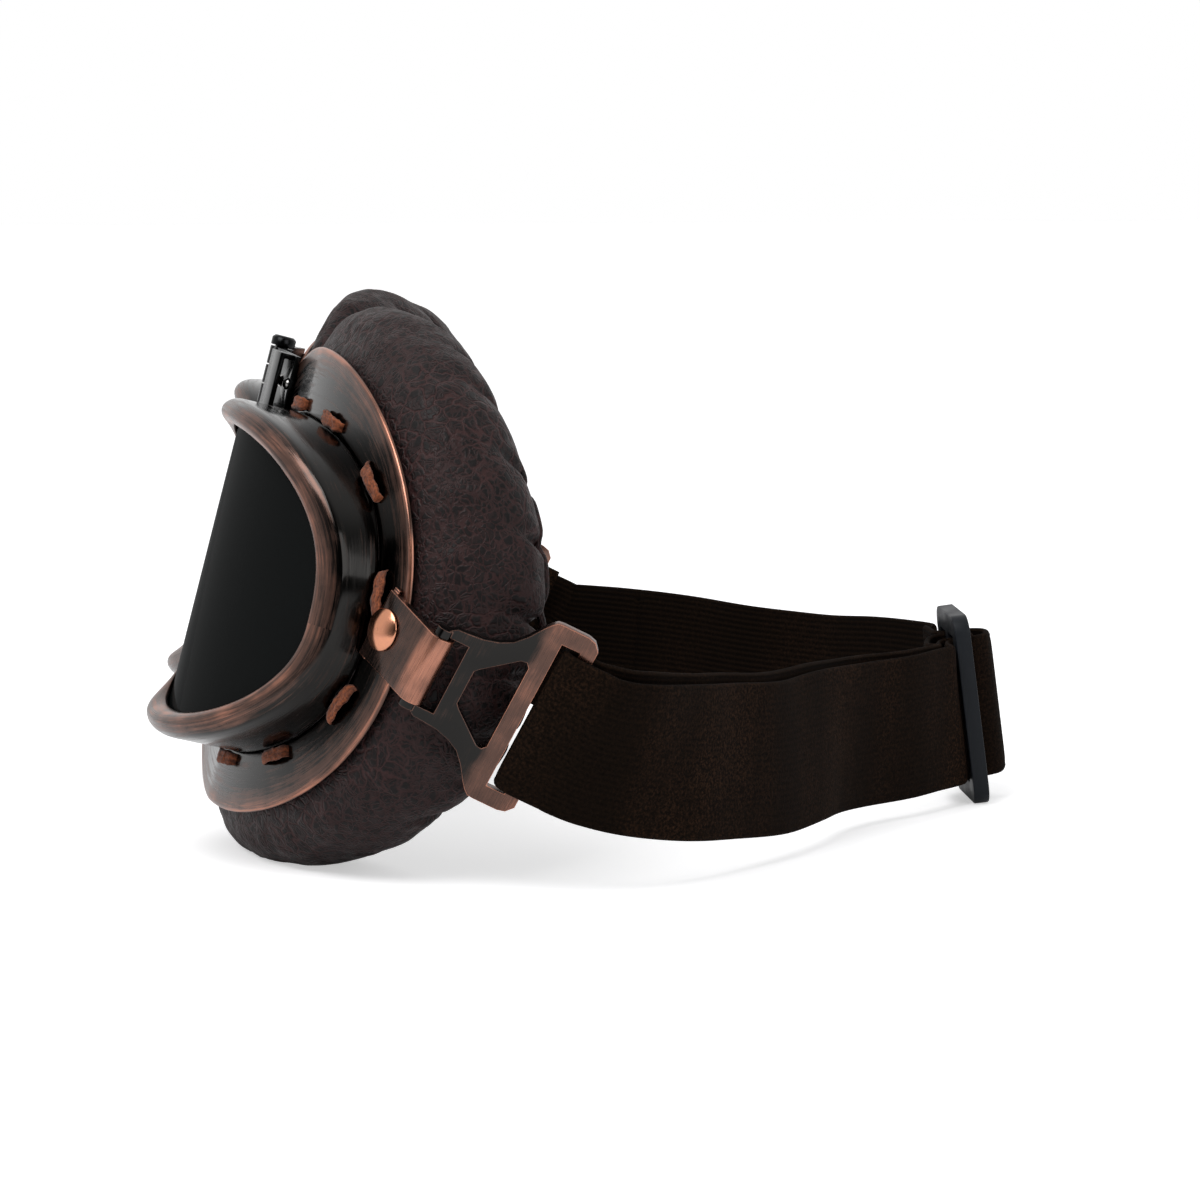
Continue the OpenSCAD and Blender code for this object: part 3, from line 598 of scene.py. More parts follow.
@dataclass(frozen=True)
class BlackPlastic:
    """Satin black plastic of the strap's slider."""

    colour: tuple[float, float, float] = (0.0085, 0.0100, 0.0125)

    def make(self) -> bpy.types.Material:
        """Builds the material."""
        recipe = Recipe("black_plastic")
        where = recipe.place()
        fine = recipe.noise(where, 1700.0, 3.0)
        haze = recipe.noise(where, 150.0, 3.0)
        recipe.set(
            Base_Color=recipe.mix(haze, self.colour, (0.0150, 0.0175, 0.0215)),
            Roughness=recipe.span(haze, 0.25, 0.75, 0.34, 0.48),
            Specular_IOR_Level=0.14,
        )
        recipe.bump(fine, 0.2, 0.0001)
        return recipe.material


@dataclass(frozen=True)
class PaleFloor:
    """Plain white floor that keeps the shadow and shows white to the camera."""

    colour: tuple[float, float, float] = (0.86, 0.86, 0.87)
    lift: float = 0.5

    def make(self) -> bpy.types.Material:
        """Builds the material."""
        recipe = Recipe("pale_floor")
        recipe.set(Base_Color=self.colour, Roughness=0.9, Specular_IOR_Level=0.1)
        path = recipe.node("LightPath")
        seen = recipe.math("MAXIMUM", path.outputs["Is Camera Ray"], path.outputs["Is Transmission Ray"])
        seen = recipe.math("MAXIMUM", seen, recipe.math("MULTIPLY", path.outputs["Is Glossy Ray"], 0.25))
        glow = recipe.node("Emission")
        glow.inputs["Color"].default_value = (1, 1, 1, 1)
        recipe.feed(glow.inputs["Strength"], recipe.math("MULTIPLY", seen, self.lift))
        both = recipe.node("AddShader")
        recipe.tree.links.new(recipe.shader.outputs[0], both.inputs[0])
        recipe.tree.links.new(glow.outputs[0], both.inputs[1])
        recipe.tree.links.new(both.outputs[0], recipe.output.inputs[0])
        return recipe.material


# ---- mesh tools ----


def link_mesh(mesh: bpy.types.Mesh, name: str) -> bpy.types.Object:
    """Puts a mesh in the scene under a name, at the origin.

    Args:
        mesh: The mesh.
        name: The piece's name.

    Returns:
        The new object.
    """
    piece = bpy.data.objects.new(name, mesh)
    bpy.context.scene.collection.objects.link(piece)
    return piece


def skin(name: str, rings: Sequence[Ring], path_closed: bool, tags: Optional[dict[str, Sequence[float]]] = None) -> bpy.types.Object:
    """Grows a closed-section skin ring by ring with the extrude operator, and lays its UV in metres.

    Args:
        name: The piece's name.
        rings: The rings' points in metres, all of one length.
        path_closed: Whether the last ring joins the first.
        tags: Numbers per ring point that become attributes of the mesh.

    Returns:
        The new piece.
    """
    mesh_data = bmesh.new()
    uv = mesh_data.loops.layers.uv.new("UVMap")
    crease = mesh_data.edges.layers.float.new("crease_edge")
    layers = {key: mesh_data.verts.layers.float.new(key) for key in (tags or {})}
    count = len(rings[0])
    ring = [mesh_data.verts.new(point) for point in rings[0]]
    edges = [mesh_data.edges.new((ring[i], ring[(i + 1) % count])) for i in range(count)]
    steps = {vert: (0, i) for i, vert in enumerate(ring)}
    start_edges = list(edges)
    for number, target in enumerate([*rings[1:], *([rings[0]] if path_closed else [])], 1):
        grown = bmesh.ops.extrude_edge_only(mesh_data, edges=edges)["geom"]
        fresh = {item for item in grown if isinstance(item, bmesh.types.BMVert)}
        following = []
        for vert, point in zip(ring, target):
            twin = next(edge.other_vert(vert) for edge in vert.link_edges if edge.other_vert(vert) in fresh)
            twin.co = point
            following.append(twin)
        edges = [mesh_data.edges.get((following[i], following[(i + 1) % count])) for i in range(count)]
        steps.update({vert: (number, i) for i, vert in enumerate(following)})
        ring = following
    middles = [sum(points, Vector()) / count for points in [*rings, rings[0]]]
    lengths = [0.0]
    for before, after in zip(middles, middles[1:]):
        lengths.append(lengths[-1] + (after - before).length)
    around = [0.0]
    for i in range(count):
        around.append(around[-1] + (rings[0][(i + 1) % count] - rings[0][i]).length)
    for face in mesh_data.faces:
        places = [steps[loop.vert] for loop in face.loops]
        wraps = {0, count - 1} <= {place[1] for place in places}
        for loop, (number, i) in zip(face.loops, places):
            loop[uv].uv = (lengths[number], around[count if wraps and i == 0 else i])
    for vert, (_, i) in steps.items():
        for key, layer in layers.items():
            vert[layer] = tags[key][i]
    if path_closed:
        bmesh.ops.remove_doubles(mesh_data, verts=mesh_data.verts, dist=1e-7)
    else:
        bmesh.ops.contextual_create(mesh_data, geom=start_edges)
        bmesh.ops.contextual_create(mesh_data, geom=edges)
        for edge in [*start_edges, *edges]:
            edge[crease] = 1.0
    bmesh.ops.recalc_face_normals(mesh_data, faces=mesh_data.faces)
    mesh = bpy.data.meshes.new(name)
    mesh_data.to_mesh(mesh)
    mesh_data.free()
    mesh.shade_smooth()
    return link_mesh(mesh, name)


def own_places(mesh: bpy.types.Mesh, matrix: Matrix) -> None:
    """Stores each point's place in a sub-assembly's own millimetres as the attribute "own".

    Args:
        mesh: The mesh to mark.
        matrix: The transform from those millimetres to the shared frame.
    """
    back = matrix.inverted()
    marks = mesh.attributes.new("own", "FLOAT_VECTOR", "POINT")
    for mark, vert in zip(marks.data, mesh.vertices):
        mark.vector = back @ vert.co


def rounded_copy(node: str, name: str, radius: float, angle: float = 35.0, segments: int = 2) -> bpy.types.Object:
    """Copies a CAD node, merges its loose triangles and rounds its sharp edges.

    Args:
        node: The CAD node.
        name: The new piece's name.
        radius: Radius of the rounding in mm.
        angle: Edges sharper than this are rounded, degrees.
        segments: Faces across a rounding.

    Returns:
        The new piece, whose faces carry the attribute "edge" where they are a rounding.
    """
    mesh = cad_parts[node].data.copy()
    mesh.materials.clear()
    work = bmesh.new()
    work.from_mesh(mesh)
    bmesh.ops.remove_doubles(work, verts=work.verts, dist=2e-6)
    bmesh.ops.dissolve_degenerate(work, edges=work.edges, dist=2e-6)
    bmesh.ops.dissolve_limit(work, angle_limit=math.radians(0.6), verts=work.verts, edges=work.edges)
    marks = work.faces.layers.float.new("edge")
    flat = set(work.faces)
    sharp = [edge for edge in work.edges if len(edge.link_faces) == 2 and edge.calc_face_angle(0.0) > math.radians(angle)]
    grown = bmesh.ops.bevel(
        work,
        geom=sharp,
        offset=radius * MM,
        offset_type="OFFSET",
        affect="EDGES",
        segments=segments,
        profile=0.5,
        material=-1,
        clamp_overlap=True,
    )
    for face in grown["faces"]:
        if face not in flat or face.calc_area() < (radius * MM) ** 2 * 4:
            face[marks] = 1.0
    bmesh.ops.triangulate(work, faces=[face for face in work.faces if len(face.verts) > 4])
    work.to_mesh(mesh)
    work.free()
    mesh.shade_smooth()
    mesh.set_sharp_from_angle(angle=math.radians(32.0))
    return link_mesh(mesh, name)


def apply_all(piece: bpy.types.Object) -> None:
    """Replaces a piece's mesh by what its modifiers make of it.

    Args:
        piece: The piece.
    """
    graph = bpy.context.evaluated_depsgraph_get()
    graph.update()
    made = bpy.data.meshes.new_from_object(piece.evaluated_get(graph), preserve_all_data_layers=True, depsgraph=graph)
    piece.modifiers.clear()
    piece.data = made


def refine(piece: bpy.types.Object, levels: int) -> None:
    """Subdivides a piece smoothly and applies it.

    Args:
        piece: The piece.
        levels: How many times.
    """
    modifier = piece.modifiers.new("smooth", "SUBSURF")
    modifier.levels = levels
    modifier.render_levels = levels
    apply_all(piece)
    piece.data.shade_smooth()


def finish_piece(piece: bpy.types.Object, material: bpy.types.Material, body: str, slot: str, *nodes: str) -> None:
    """Gives a piece its material and body, and hides the CAD nodes that it stands for.

    Args:
        piece: The piece.
        material: Its material.
        body: The body that it rides on; an empty name gives none.
        slot: Not used.
        *nodes: CAD nodes that it replaces.
    """
    piece.data.materials.clear()
    piece.data.materials.append(material)
    if body:
        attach(piece, body)
    if nodes:
        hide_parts(*nodes)
    LOG.info("%s: %d faces", piece.name, len(piece.data.polygons))


def repaint(node: str, material: bpy.types.Material) -> None:
    """Gives a CAD node that stays a better material.

    Args:
        node: The CAD node.
        material: The material.
    """
    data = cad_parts[node].data
    data.materials.clear()
    data.materials.append(material)


def flow(points: Sequence[Vector], pieces: int) -> list[Vector]:
    """A smooth line through points.

    Args:
        points: The points.
        pieces: Steps between two of them.

    Returns:
        The finer points.
    """
    line = []
    last = len(points) - 1
    for i in range(last):
        a, b, c, d = points[max(i - 1, 0)], points[i], points[i + 1], points[min(i + 2, last)]
        for j in range(pieces):
            k = j / pieces
            line.append(0.5 * (2 * b + (c - a) * k + (2 * a - 5 * b + 4 * c - d) * k * k + (3 * b - a - 3 * c + d) * k ** 3))
    line.append(points[-1].copy())
    return line


# ---- eyecups ----


@dataclass
class Eyecup:
    """Lens, bezel, flange, tab and rivet of one side, with the CAD's sizes in mm."""

    side: Side
    rig: Rig
    lens_out: float = 41.9
    lens_in: float = 31.0
    lens_top: float = 29.5
    lens_bottom: float = 25.0
    top_square: float = 2.6
    bottom_square: float = 2.1
    lens_nose_cut: float = 0.05
    lens_radius: float = 66.8
    lens_apex: float = 6.6
    bead_width: float = 5.05
    bead_proud: float = 4.1
    temple_low: float = 0.7
    wall_thick: float = 1.2
    plate_out: float = 54.6
    plate_in: float = 44.0
    plate_top: float = 47.7
    plate_bottom: float = 41.2
    plate_square: float = 2.16
    plate_nose_cut: float = 0.06
    plate_depth: float = 12.1
    plate_radius: float = 125.0
    plate_apex: float = 2.0
    crease: float = -2.0
    wing_slope: float = 0.09
    sheet: float = 0.9
    steps: int = 144

    def lobe(self, sizes: Sequence[float], squares: tuple[float, float], cut: float, angle: float) -> tuple[float, float]:
        """A point of a rounded outline.

        Args:
            sizes: Half sizes outwards, inwards, up and down.
            squares: Squareness of the upper and lower half.
            cut: How much the lower nose corner draws in.
            angle: Place round the outline in degrees.

        Returns:
            The point sideways and upwards.
        """
        c, s = math.cos(math.radians(angle)), math.sin(math.radians(angle))
        power = 2 / (squares[0] if s > 0 else squares[1])
        u = (sizes[0] if c > 0 else sizes[1]) * math.copysign(abs(c) ** power, c)
        w = (sizes[2] if s > 0 else sizes[3]) * math.copysign(abs(s) ** power, s)
        k = 1 - 4 * cut * s * s * c * c if s < 0 and c < 0 else 1
        return u * k, w * k

    def lens_at(self, d: float, angle: float) -> tuple[float, float]:
        """A point of the lens outline, d mm outside it, at an angle in degrees."""
        sizes = (self.lens_out + d, self.lens_in + d, self.lens_top + d, self.lens_bottom + d)
        return self.lobe(sizes, (self.top_square, self.bottom_square), self.lens_nose_cut, angle)

    def plate_at(self, d: float, angle: float) -> tuple[float, float]:
        """A point of the flange outline, d mm outside it, at an angle in degrees."""
        sizes = (self.plate_out + d, self.plate_in + d, self.plate_top + d, self.plate_bottom + d)
        return self.lobe(sizes, (self.plate_square, self.plate_square), self.plate_nose_cut, angle)

    def lens_v(self, u: float) -> float:
        """Depth of the lens's face at a sideways place."""
        return self.lens_radius - math.sqrt(self.lens_radius**2 - (u - self.lens_apex) ** 2)

    def plate_face(self, u: float) -> float:
        """Depth of the flange's face at a sideways place."""
        x = max(u, self.crease) - self.plate_apex
        bent = self.plate_depth + self.plate_radius - math.sqrt(self.plate_radius**2 - x * x)
        return bent + self.wing_slope * max(self.crease - u, 0.0)

    def draw_in(self, angle: float) -> float:
        """How far the wall draws in towards the temple at an angle."""
        c = math.cos(math.radians(angle))
        return 0.9 * c * c if c > 0 else 0.0

    def bezel_ring(self, angle: float, matrix: Matrix) -> tuple[Ring, list[float]]:
        """One section of the bezel's rolled bead and wall.

        Args:
            angle: Place round the lens in degrees.
            matrix: Transform to the shared frame.

        Returns:
            The section's points, and how worn each is.
        """
        c = math.cos(math.radians(angle))
        turned = min(max((-c - 0.15) / 0.55, 0.0), 1.0)
        proud = self.bead_proud * (1 - c * c * self.temple_low if c > 0 else 1 - 0.9 * turned * turned * (3 - 2 * turned))
        crown = ((0, -0.08, 0.2), (0, 0.25, 0.42), (0.05, 0.5, 0.56), (0.14, 0.74, 0.6), (0.28, 0.93, 0.54), (0.45, 1.0, 0.46), (0.62, 0.97, 0.42),
                 (0.78, 0.84, 0.38), (0.9, 0.64, 0.28), (0.98, 0.4, 0.14), (1, 0.18, 0.04))
        ring, worn = [], []
        for number, (share, height, rub) in enumerate(crown):
            u, w = self.lens_at(share * self.bead_width, angle)
            v = self.lens_v(u) - (0.08 if number == 0 else height * proud)
            ring.append(Vector((u, min(v, self.plate_face(u) - 0.6), w)))
            worn.append(rub)
        edge = self.lens_at(self.bead_width, angle)
        foot_d = self.bead_width - self.draw_in(angle)
        foot = self.lens_at(foot_d, angle)
        foot_v = self.plate_face(foot[0]) - 0.04
        top_v = ring[-1].y
        for share, rub in ((0.12, 0.0), (0.5, 0.0), (0.92, 0.04)):
            u = edge[0] + (foot[0] - edge[0]) * share
            w = edge[1] + (foot[1] - edge[1]) * share
            ring.append(Vector((u, top_v + (foot_v - top_v) * share, w)))
            worn.append(rub)
        ring.append(Vector((foot[0], foot_v, foot[1])))
        worn.append(0.1)
        inner = self.lens_at(foot_d - self.wall_thick, angle)
        ring.append(Vector((inner[0], self.plate_face(inner[0]) - 0.04, inner[1])))
        worn.append(0.1)
        inside = self.lens_at(self.bead_width - self.wall_thick, angle)
        ring.append(Vector((inside[0], min(self.lens_v(inside[0]) - 0.08, self.plate_face(inside[0]) - 0.3), inside[1])))
        worn.append(0.1)
        return [matrix @ point for point in ring], worn

    def bezel(self, material: bpy.types.Material) -> None:
        """Sweeps the bezel and its wall round the lens.

        Args:
            material: Its finish.
        """
        matrix = self.rig.matrix(self.side)
        sections = [self.bezel_ring(360 * i / self.steps, matrix) for i in range(self.steps)]
        piece = skin(f"{self.side.word}_bezel", [ring for ring, _ in sections], True, {"wear": sections[0][1]})
        refine(piece, 1)
        finish_piece(piece, material, self.side.eyecup, "aged_copper", f"{self.side.word}_housing")

    def plate(self, material: bpy.types.Material) -> None:
        """Sweeps the flange's pressed sheet with its rounded rim round the wall.

        Args:
            material: Its finish.
        """
        matrix = self.rig.matrix(self.side)
        front = ((0, 0.0, 0.06), (0.2, 0.0, 0.04), (0.4, 0.0, 0.06), (0.58, 0.0, 0.16), (0.72, 0.0, 0.28), (0.84, -0.03, 0.4), (0.92, -0.1, 0.5),
                 (0.965, -0.12, 0.62), (0.99, 0.02, 0.8), (1.0, 0.3, 0.66))
        profile = front + ((1.0, self.sheet - 0.2, 0.4), (0.985, self.sheet, 0.1), (0.5, self.sheet, 0.0), (0, self.sheet, 0.0))
        rings = []
        for i in range(self.steps):
            angle = 360 * i / self.steps
            inner = Vector(self.lens_at(self.bead_width - self.draw_in(angle) - 0.8, angle))
            outer = Vector(self.plate_at(0, angle))
            ring = []
            for share, depth, _ in profile:
                spot = inner + (outer - inner) * share
                ring.append(matrix @ Vector((spot.x, self.plate_face(spot.x) + depth, spot.y)))
            rings.append(ring)
        piece = skin(f"{self.side.word}_plate", rings, True, {"wear": [rub for _, _, rub in profile]})
        refine(piece, 1)
        finish_piece(piece, material, self.side.eyecup, "aged_copper", f"{self.side.word}_flange")

    def metalwork(self, finishes: dict[str, bpy.types.Material]) -> None:
        """Rounds the edges of the tab and dresses the small parts that stay.

        Args:
            finishes: The materials by name.
        """
        word = self.side.word
        tab = rounded_copy(f"{word}_tab", f"{word}_strap_tab", 0.14, 50.0)
        own_places(tab.data, self.tab_matrix())
        finish_piece(tab, finishes["fold"], self.side.eyecup, "aged_copper", f"{word}_tab")
        rivet = rounded_copy(f"{word}_rivet", f"{word}_rivet_head", 0.3, 50.0, 3)
        finish_piece(rivet, finishes["bright"], self.side.eyecup, "bright_copper", f"{word}_rivet")
        repaint(f"{word}_lens", finishes["lens"])
        repaint(f"{word}_gasket", finishes["rubber"])

    def tab_matrix(self) -> Matrix:
        """The transform from the strap tab's own millimetres to the shared frame."""
        rivet_out, rivet_up, tab_turn = 51.4, 2.9, 19.5
        lean = math.asin((rivet_out - self.plate_apex) / self.plate_radius)
        place = Matrix.Translation((rivet_out, self.plate_face(rivet_out), rivet_up))
        return self.rig.matrix(self.side) @ place @ Matrix.Rotation(lean, 4, "Z") @ Matrix.Rotation(math.radians(tab_turn), 4, "Y")

    def build(self, finishes: dict[str, bpy.types.Material]) -> None:
        """Makes the whole eyecup but its pad and lace.

        Args:
            finishes: The materials by name.
        """
        self.bezel(finishes["crest"])
        self.plate(finishes["rim"])
        self.metalwork(finishes)


@dataclass
class Lace:
    """Suede stitches round the foot of one bezel, in mm."""

    cup: Eyecup
    stitches: int = 11
    long: float = 10.2
    wide: float = 2.7
    thick: float = 1.1
    ring: float = 6.7
    phase: float = 0.39
    sheet: float = 0.9

    def route(self) -> Callable[[float], tuple[float, float]]:
        """Makes a function from a length along the stitches' ring to its place.

        Returns:
            The function, which gives the place sideways and upwards.
        """
        angles = [2.0 * i for i in range(181)]
        points = [self.cup.lens_at(self.ring, angle) for angle in angles]
        lengths = [0.0]
        for before, after in zip(points, points[1:]):
            lengths.append(lengths[-1] + math.dist(before, after))
        self.around = lengths[-1]

        def spot(length: float) -> tuple[float, float]:
            """The ring's place at a length."""
            angle = float(np.interp(length % lengths[-1], lengths, angles))
            return self.cup.lens_at(self.ring - self.cup.draw_in(angle), angle)

        return spot

    def stitch(self, number: int, spot: Callable[[float], tuple[float, float]]) -> bpy.types.Object:
        """One crumpled stitch from hole to hole.

        Args:
            number: Which stitch.
            spot: The ring's places.

        Returns:
            The stitch.
        """
        cup, middle, half = self.cup, self.around * (number + self.phase) / self.stitches, self.long / 2 - 0.6
        rise = self.thick / 2 + 0.12
        path = ((-half, -self.sheet + 0.03, 0.6), (-half, -0.2, 0.66), (-half + 0.25, rise * 0.8, 0.85), (-half + 1.1, rise + 0.3, 0.95),
                (-half + 2.4, rise + 0.5, 1.02), (-1.2, rise + 0.62, 0.94), (0, rise + 0.55, 1.0), (1.4, rise + 0.62, 1.04),
                (half - 2.4, rise + 0.45, 0.93), (half - 1.1, rise + 0.3, 1.0), (half - 0.25, rise * 0.8, 0.85), (half, -0.2, 0.66),
                (half, -self.sheet + 0.03, 0.6))
        matrix = cup.rig.matrix(cup.side)
        rings = []
        for along, height, width in path:
            u, w = spot(middle + along)
            before, after = spot(middle + along - 0.6), spot(middle + along + 0.6)
            slope = math.asin((u - cup.plate_apex) / cup.plate_radius) if u > cup.crease else -math.atan(cup.wing_slope)
            out = Vector((math.sin(slope), -math.cos(slope), 0))
            run = Vector((after[0] - before[0], math.tan(slope) * (after[0] - before[0]), after[1] - before[1])).normalized()
            side = out.cross(run)
            base = Vector((u, cup.plate_face(u), w)) + out * height
            ring = []
            for i in range(12):
                turn = 2 * math.pi * i / 12
                x = math.copysign(abs(math.cos(turn)) ** 0.75, math.cos(turn)) * self.wide * width / 2
                y = math.copysign(abs(math.sin(turn)) ** 0.75, math.sin(turn)) * self.thick / 2
                y -= 0.16 * math.exp(-((x / 0.35) ** 2)) if y > 0 else 0
                point = base + side * x + out * y
                rough = noise.noise_vector(point * 0.95 + Vector((number * 7.3, 0, 0))) * 0.3
                ring.append(matrix @ (point + rough * min(1.0, max(0.0, height + 0.3))))
            rings.append(ring)
        return skin(f"{cup.side.word}_stitch_{number + 1}", rings, False)

    def build(self, material: bpy.types.Material) -> None:
        """Makes the stitches as one piece.

        Args:
            material: Their finish.
        """
        spot = self.route()
        parts = [self.stitch(number, spot) for number in range(self.stitches)]
        joined = bmesh.new()
        for part in parts:
            joined.from_mesh(part.data)
            bpy.data.objects.remove(part)
        mesh = bpy.data.meshes.new(f"{self.cup.side.word}_lacing")
        joined.to_mesh(mesh)
        joined.free()
        piece = link_mesh(mesh, mesh.name)
        refine(piece, 2)
        for vert in piece.data.vertices:
            vert.co += noise.noise_vector(vert.co * 1300) * 0.00014 + noise.noise_vector(vert.co * 620) * 0.00022
        finish_piece(piece, material, self.cup.side.eyecup, "suede", f"{self.cup.side.word}_lace")


@dataclass
class Cushion:
    """Leather pad of one eyecup: swollen behind the flange and gathered along its rear seam, in mm."""

    cup: Eyecup
    bulge_top: float = 11.0
    bulge_bottom: float = 8.0
    bulge_out: float = 5.0
    deep: float = 27.0
    nose_draw: float = 5.0
    gathers: int = 25
    voxel: float = 3.6
    pressure: float = 4.0
    cap: float = 2.2
    puff: float = 6.2

    def bulge(self, angle: float) -> float:
        """How far the pad stands beyond the flange at an angle."""
        c, s = math.cos(math.radians(angle)), math.sin(math.radians(angle))
        return s * s * (self.bulge_top if s > 0 else self.bulge_bottom) + c * c * (self.bulge_out if c > 0 else -0.4)

    def section(self, angle: float) -> Ring:
        """One closed section of the pad in its own millimetres.

        Args:
            angle: Place round the pad in degrees.

        Returns:
            The section's points.
        """
        cup = self.cup
        profile = ((0, 0, 1.1), (0.5, 0, 1.1), (1, -1.5, 1.1), (1, -1.4, 2.8), (1, 0.42, 3.2), (1, 0.7, 4.9), (1, 0.88, 7.0), (1, 0.98, 9.8),
                   (1, 1, 12.7), (1, 0.95, 16.2), (1, 0.84, 19.4), (1, 0.64, 22.4), (1, 0.34, 25.0), (0.92, 0, 27.0), (0.72, 0, 28.3),
                   (0.5, 0, 28.6), (0.25, 0, 27.2), (0.06, 0, 24.0), (0.02, 0, 17.0), (0.05, 0, 10.0), (0.03, 0, 4.0))
        a, b = cup.plate_at(0, angle - 1), cup.plate_at(0, angle + 1)
        run = Vector((b[0] - a[0], b[1] - a[1])).normalized()
        out = Vector((run.y, -run.x))
        inner, outer = Vector(cup.lens_at(4.2, angle)), Vector(cup.plate_at(0, angle))
        c = math.cos(math.radians(angle))
        ring = []
        for share, swell, depth in profile:
            reach = swell if swell < 0 else swell * self.bulge(angle)
            drawn = 0.0 if depth < 3 else depth / self.deep * self.nose_draw * (c * c if c < 0 else 0.0)
            if swell > 0 and cup.side is Side.RIGHT:
                reach += self.puff * math.exp(-(((angle - 118) / 22) ** 2)) * math.exp(-(((depth - 6.0) / 7) ** 2))
            if depth > 12:
                reach += 1.6 * math.exp(-(((angle - 22) / 13) ** 2)) * math.exp(-(((depth - 22) / 5) ** 2))
            spot = inner + (outer - inner) * share + out * (reach - drawn)
            ring.append(Vector((spot.x, cup.plate_face(outer.x + (inner.x - outer.x) * (1 - share)) + depth, spot.y)))
        return ring

    def inflate(self, piece: bpy.types.Object) -> None:
        """Lets the cover swell as cloth under pressure and keeps a capped share of it.

        Args:
            piece: The pad in the shared frame.
        """
        remesh = piece.modifiers.new("even", "REMESH")
        remesh.mode = "VOXEL"
        remesh.voxel_size = self.voxel * MM
        apply_all(piece)
        count = len(piece.data.vertices)
        rest = np.empty(count * 3, np.float32)
        piece.data.vertices.foreach_get("co", rest)
        rest = rest.reshape(-1, 3)
        back = np.array(self.cup.rig.matrix(self.cup.side).inverted())
        local = rest @ back[:3, :3].T + back[:3, 3]
        depth = local[:, 1] - np.array([self.cup.plate_face(u) for u in np.clip(local[:, 0], -60, 60)])
        hold = piece.vertex_groups.new(name="hold")
        hold.add([int(i) for i in np.nonzero(depth < 4.2)[0]], 1.0, "REPLACE")
        cloth = piece.modifiers.new("cover", "CLOTH")
        cloth.settings.quality = 5
        cloth.settings.mass = 0.3
        cloth.settings.tension_stiffness = 12
        cloth.settings.compression_stiffness = 6
        cloth.settings.bending_stiffness = 0.4
        cloth.settings.use_pressure = True
        cloth.settings.uniform_pressure_force = self.pressure
        cloth.settings.effector_weights.gravity = 0.0
        cloth.settings.vertex_group_mass = "hold"
        cloth.collision_settings.use_collision = False
        scene = bpy.context.scene
        for number in range(1, 21):
            scene.frame_set(number)
        graph = bpy.context.evaluated_depsgraph_get()
        made = piece.evaluated_get(graph).to_mesh()
        swollen = np.empty(count * 3, np.float32)
        made.vertices.foreach_get("co", swollen)
        swollen = swollen.reshape(-1, 3)
        piece.modifiers.clear()
        scene.frame_set(1)
        move = swollen - rest
        size = np.linalg.norm(move, axis=1)
        limit = self.cap * MM
        move *= np.where(size > 1e-9, np.minimum(1.0, limit / np.maximum(size, 1e-9)), 0)[:, None]
        piece.data.vertices.foreach_set("co", (rest + move).astype(np.float32).ravel())
        piece.data.update()
        LOG.info("%s: cloth moved up to %.1f mm", piece.name, float(size.max()) / MM)

    def gather(self, piece: bpy.types.Object) -> None:
        """Presses the gathers, soft creases and the flat underside into the cover.

        Args:
            piece: The pad in the shared frame, finely meshed.
        """
        cup = self.cup
        matrix = cup.rig.matrix(cup.side)
        back = matrix.inverted()
        normals = [tuple(item.vector) for item in piece.data.vertex_normals]
        for vert, normal in zip(piece.data.vertices, normals):
            own = back @ vert.co
            depth = own.y - cup.plate_face(max(-60.0, min(60.0, own.x)))
            sizes = (cup.plate_out if own.x > 0 else cup.plate_in, cup.plate_top if own.z > 0 else cup.plate_bottom)
            angle = math.atan2(own.z / sizes[1], own.x / sizes[0])
            reach = math.hypot(own.x / sizes[0], own.z / sizes[1])
            seed = Vector((math.cos(angle) * 2.2, math.sin(angle) * 2.2, cup.side.value * 3.0))
            wander = noise.noise(seed) * 0.9
            wave = math.cos(self.gathers * angle + wander * 2.4)
            pinch = max(0.0, wave) ** 6
            near_seam = math.exp(-(((depth - 23.8) / 5.8) ** 2)) * (1.0 if reach > 0.8 else 0.35)
            fade = math.exp(-(((depth - 20.0) / 10.0) ** 2)) * (1.0 if reach > 0.8 else 0.0)
            strong = 0.62 + 0.5 * noise.noise(seed * 3.1 + Vector((5, 0, 0)))
            push = -3.3 * pinch * near_seam * strong + 0.5 * wave * -0.35 * fade
            push += 0.55 * noise.noise(own * 0.11 + Vector((0, 0, cup.side.value * 9))) * (1.0 if depth > 4 else 0.2)
            push += 0.16 * noise.noise(own * 0.34) * (1.0 if depth > 4 else 0.2)
            vert.co += Vector(normal) * (push * MM)
            vert.co.z = max(vert.co.z, 0.00003)
        piece.data.update()

    def build(self, material: bpy.types.Material) -> None:
        """Makes the pad.

        Args:
            material: Its finish.
        """
        word = self.cup.side.word
        matrix = self.cup.rig.matrix(self.cup.side)
        shape = [[matrix @ point for point in self.section(360 * i / 120)] for i in range(120)]
        piece = skin(f"{word}_cushion", shape, True)
        self.inflate(piece)
        refine(piece, 2)
        self.gather(piece)
        self.seam(material)
        piece.data.shade_smooth()
        finish_piece(piece, material, self.cup.side.eyecup, "dark_leather", f"{word}_pad")

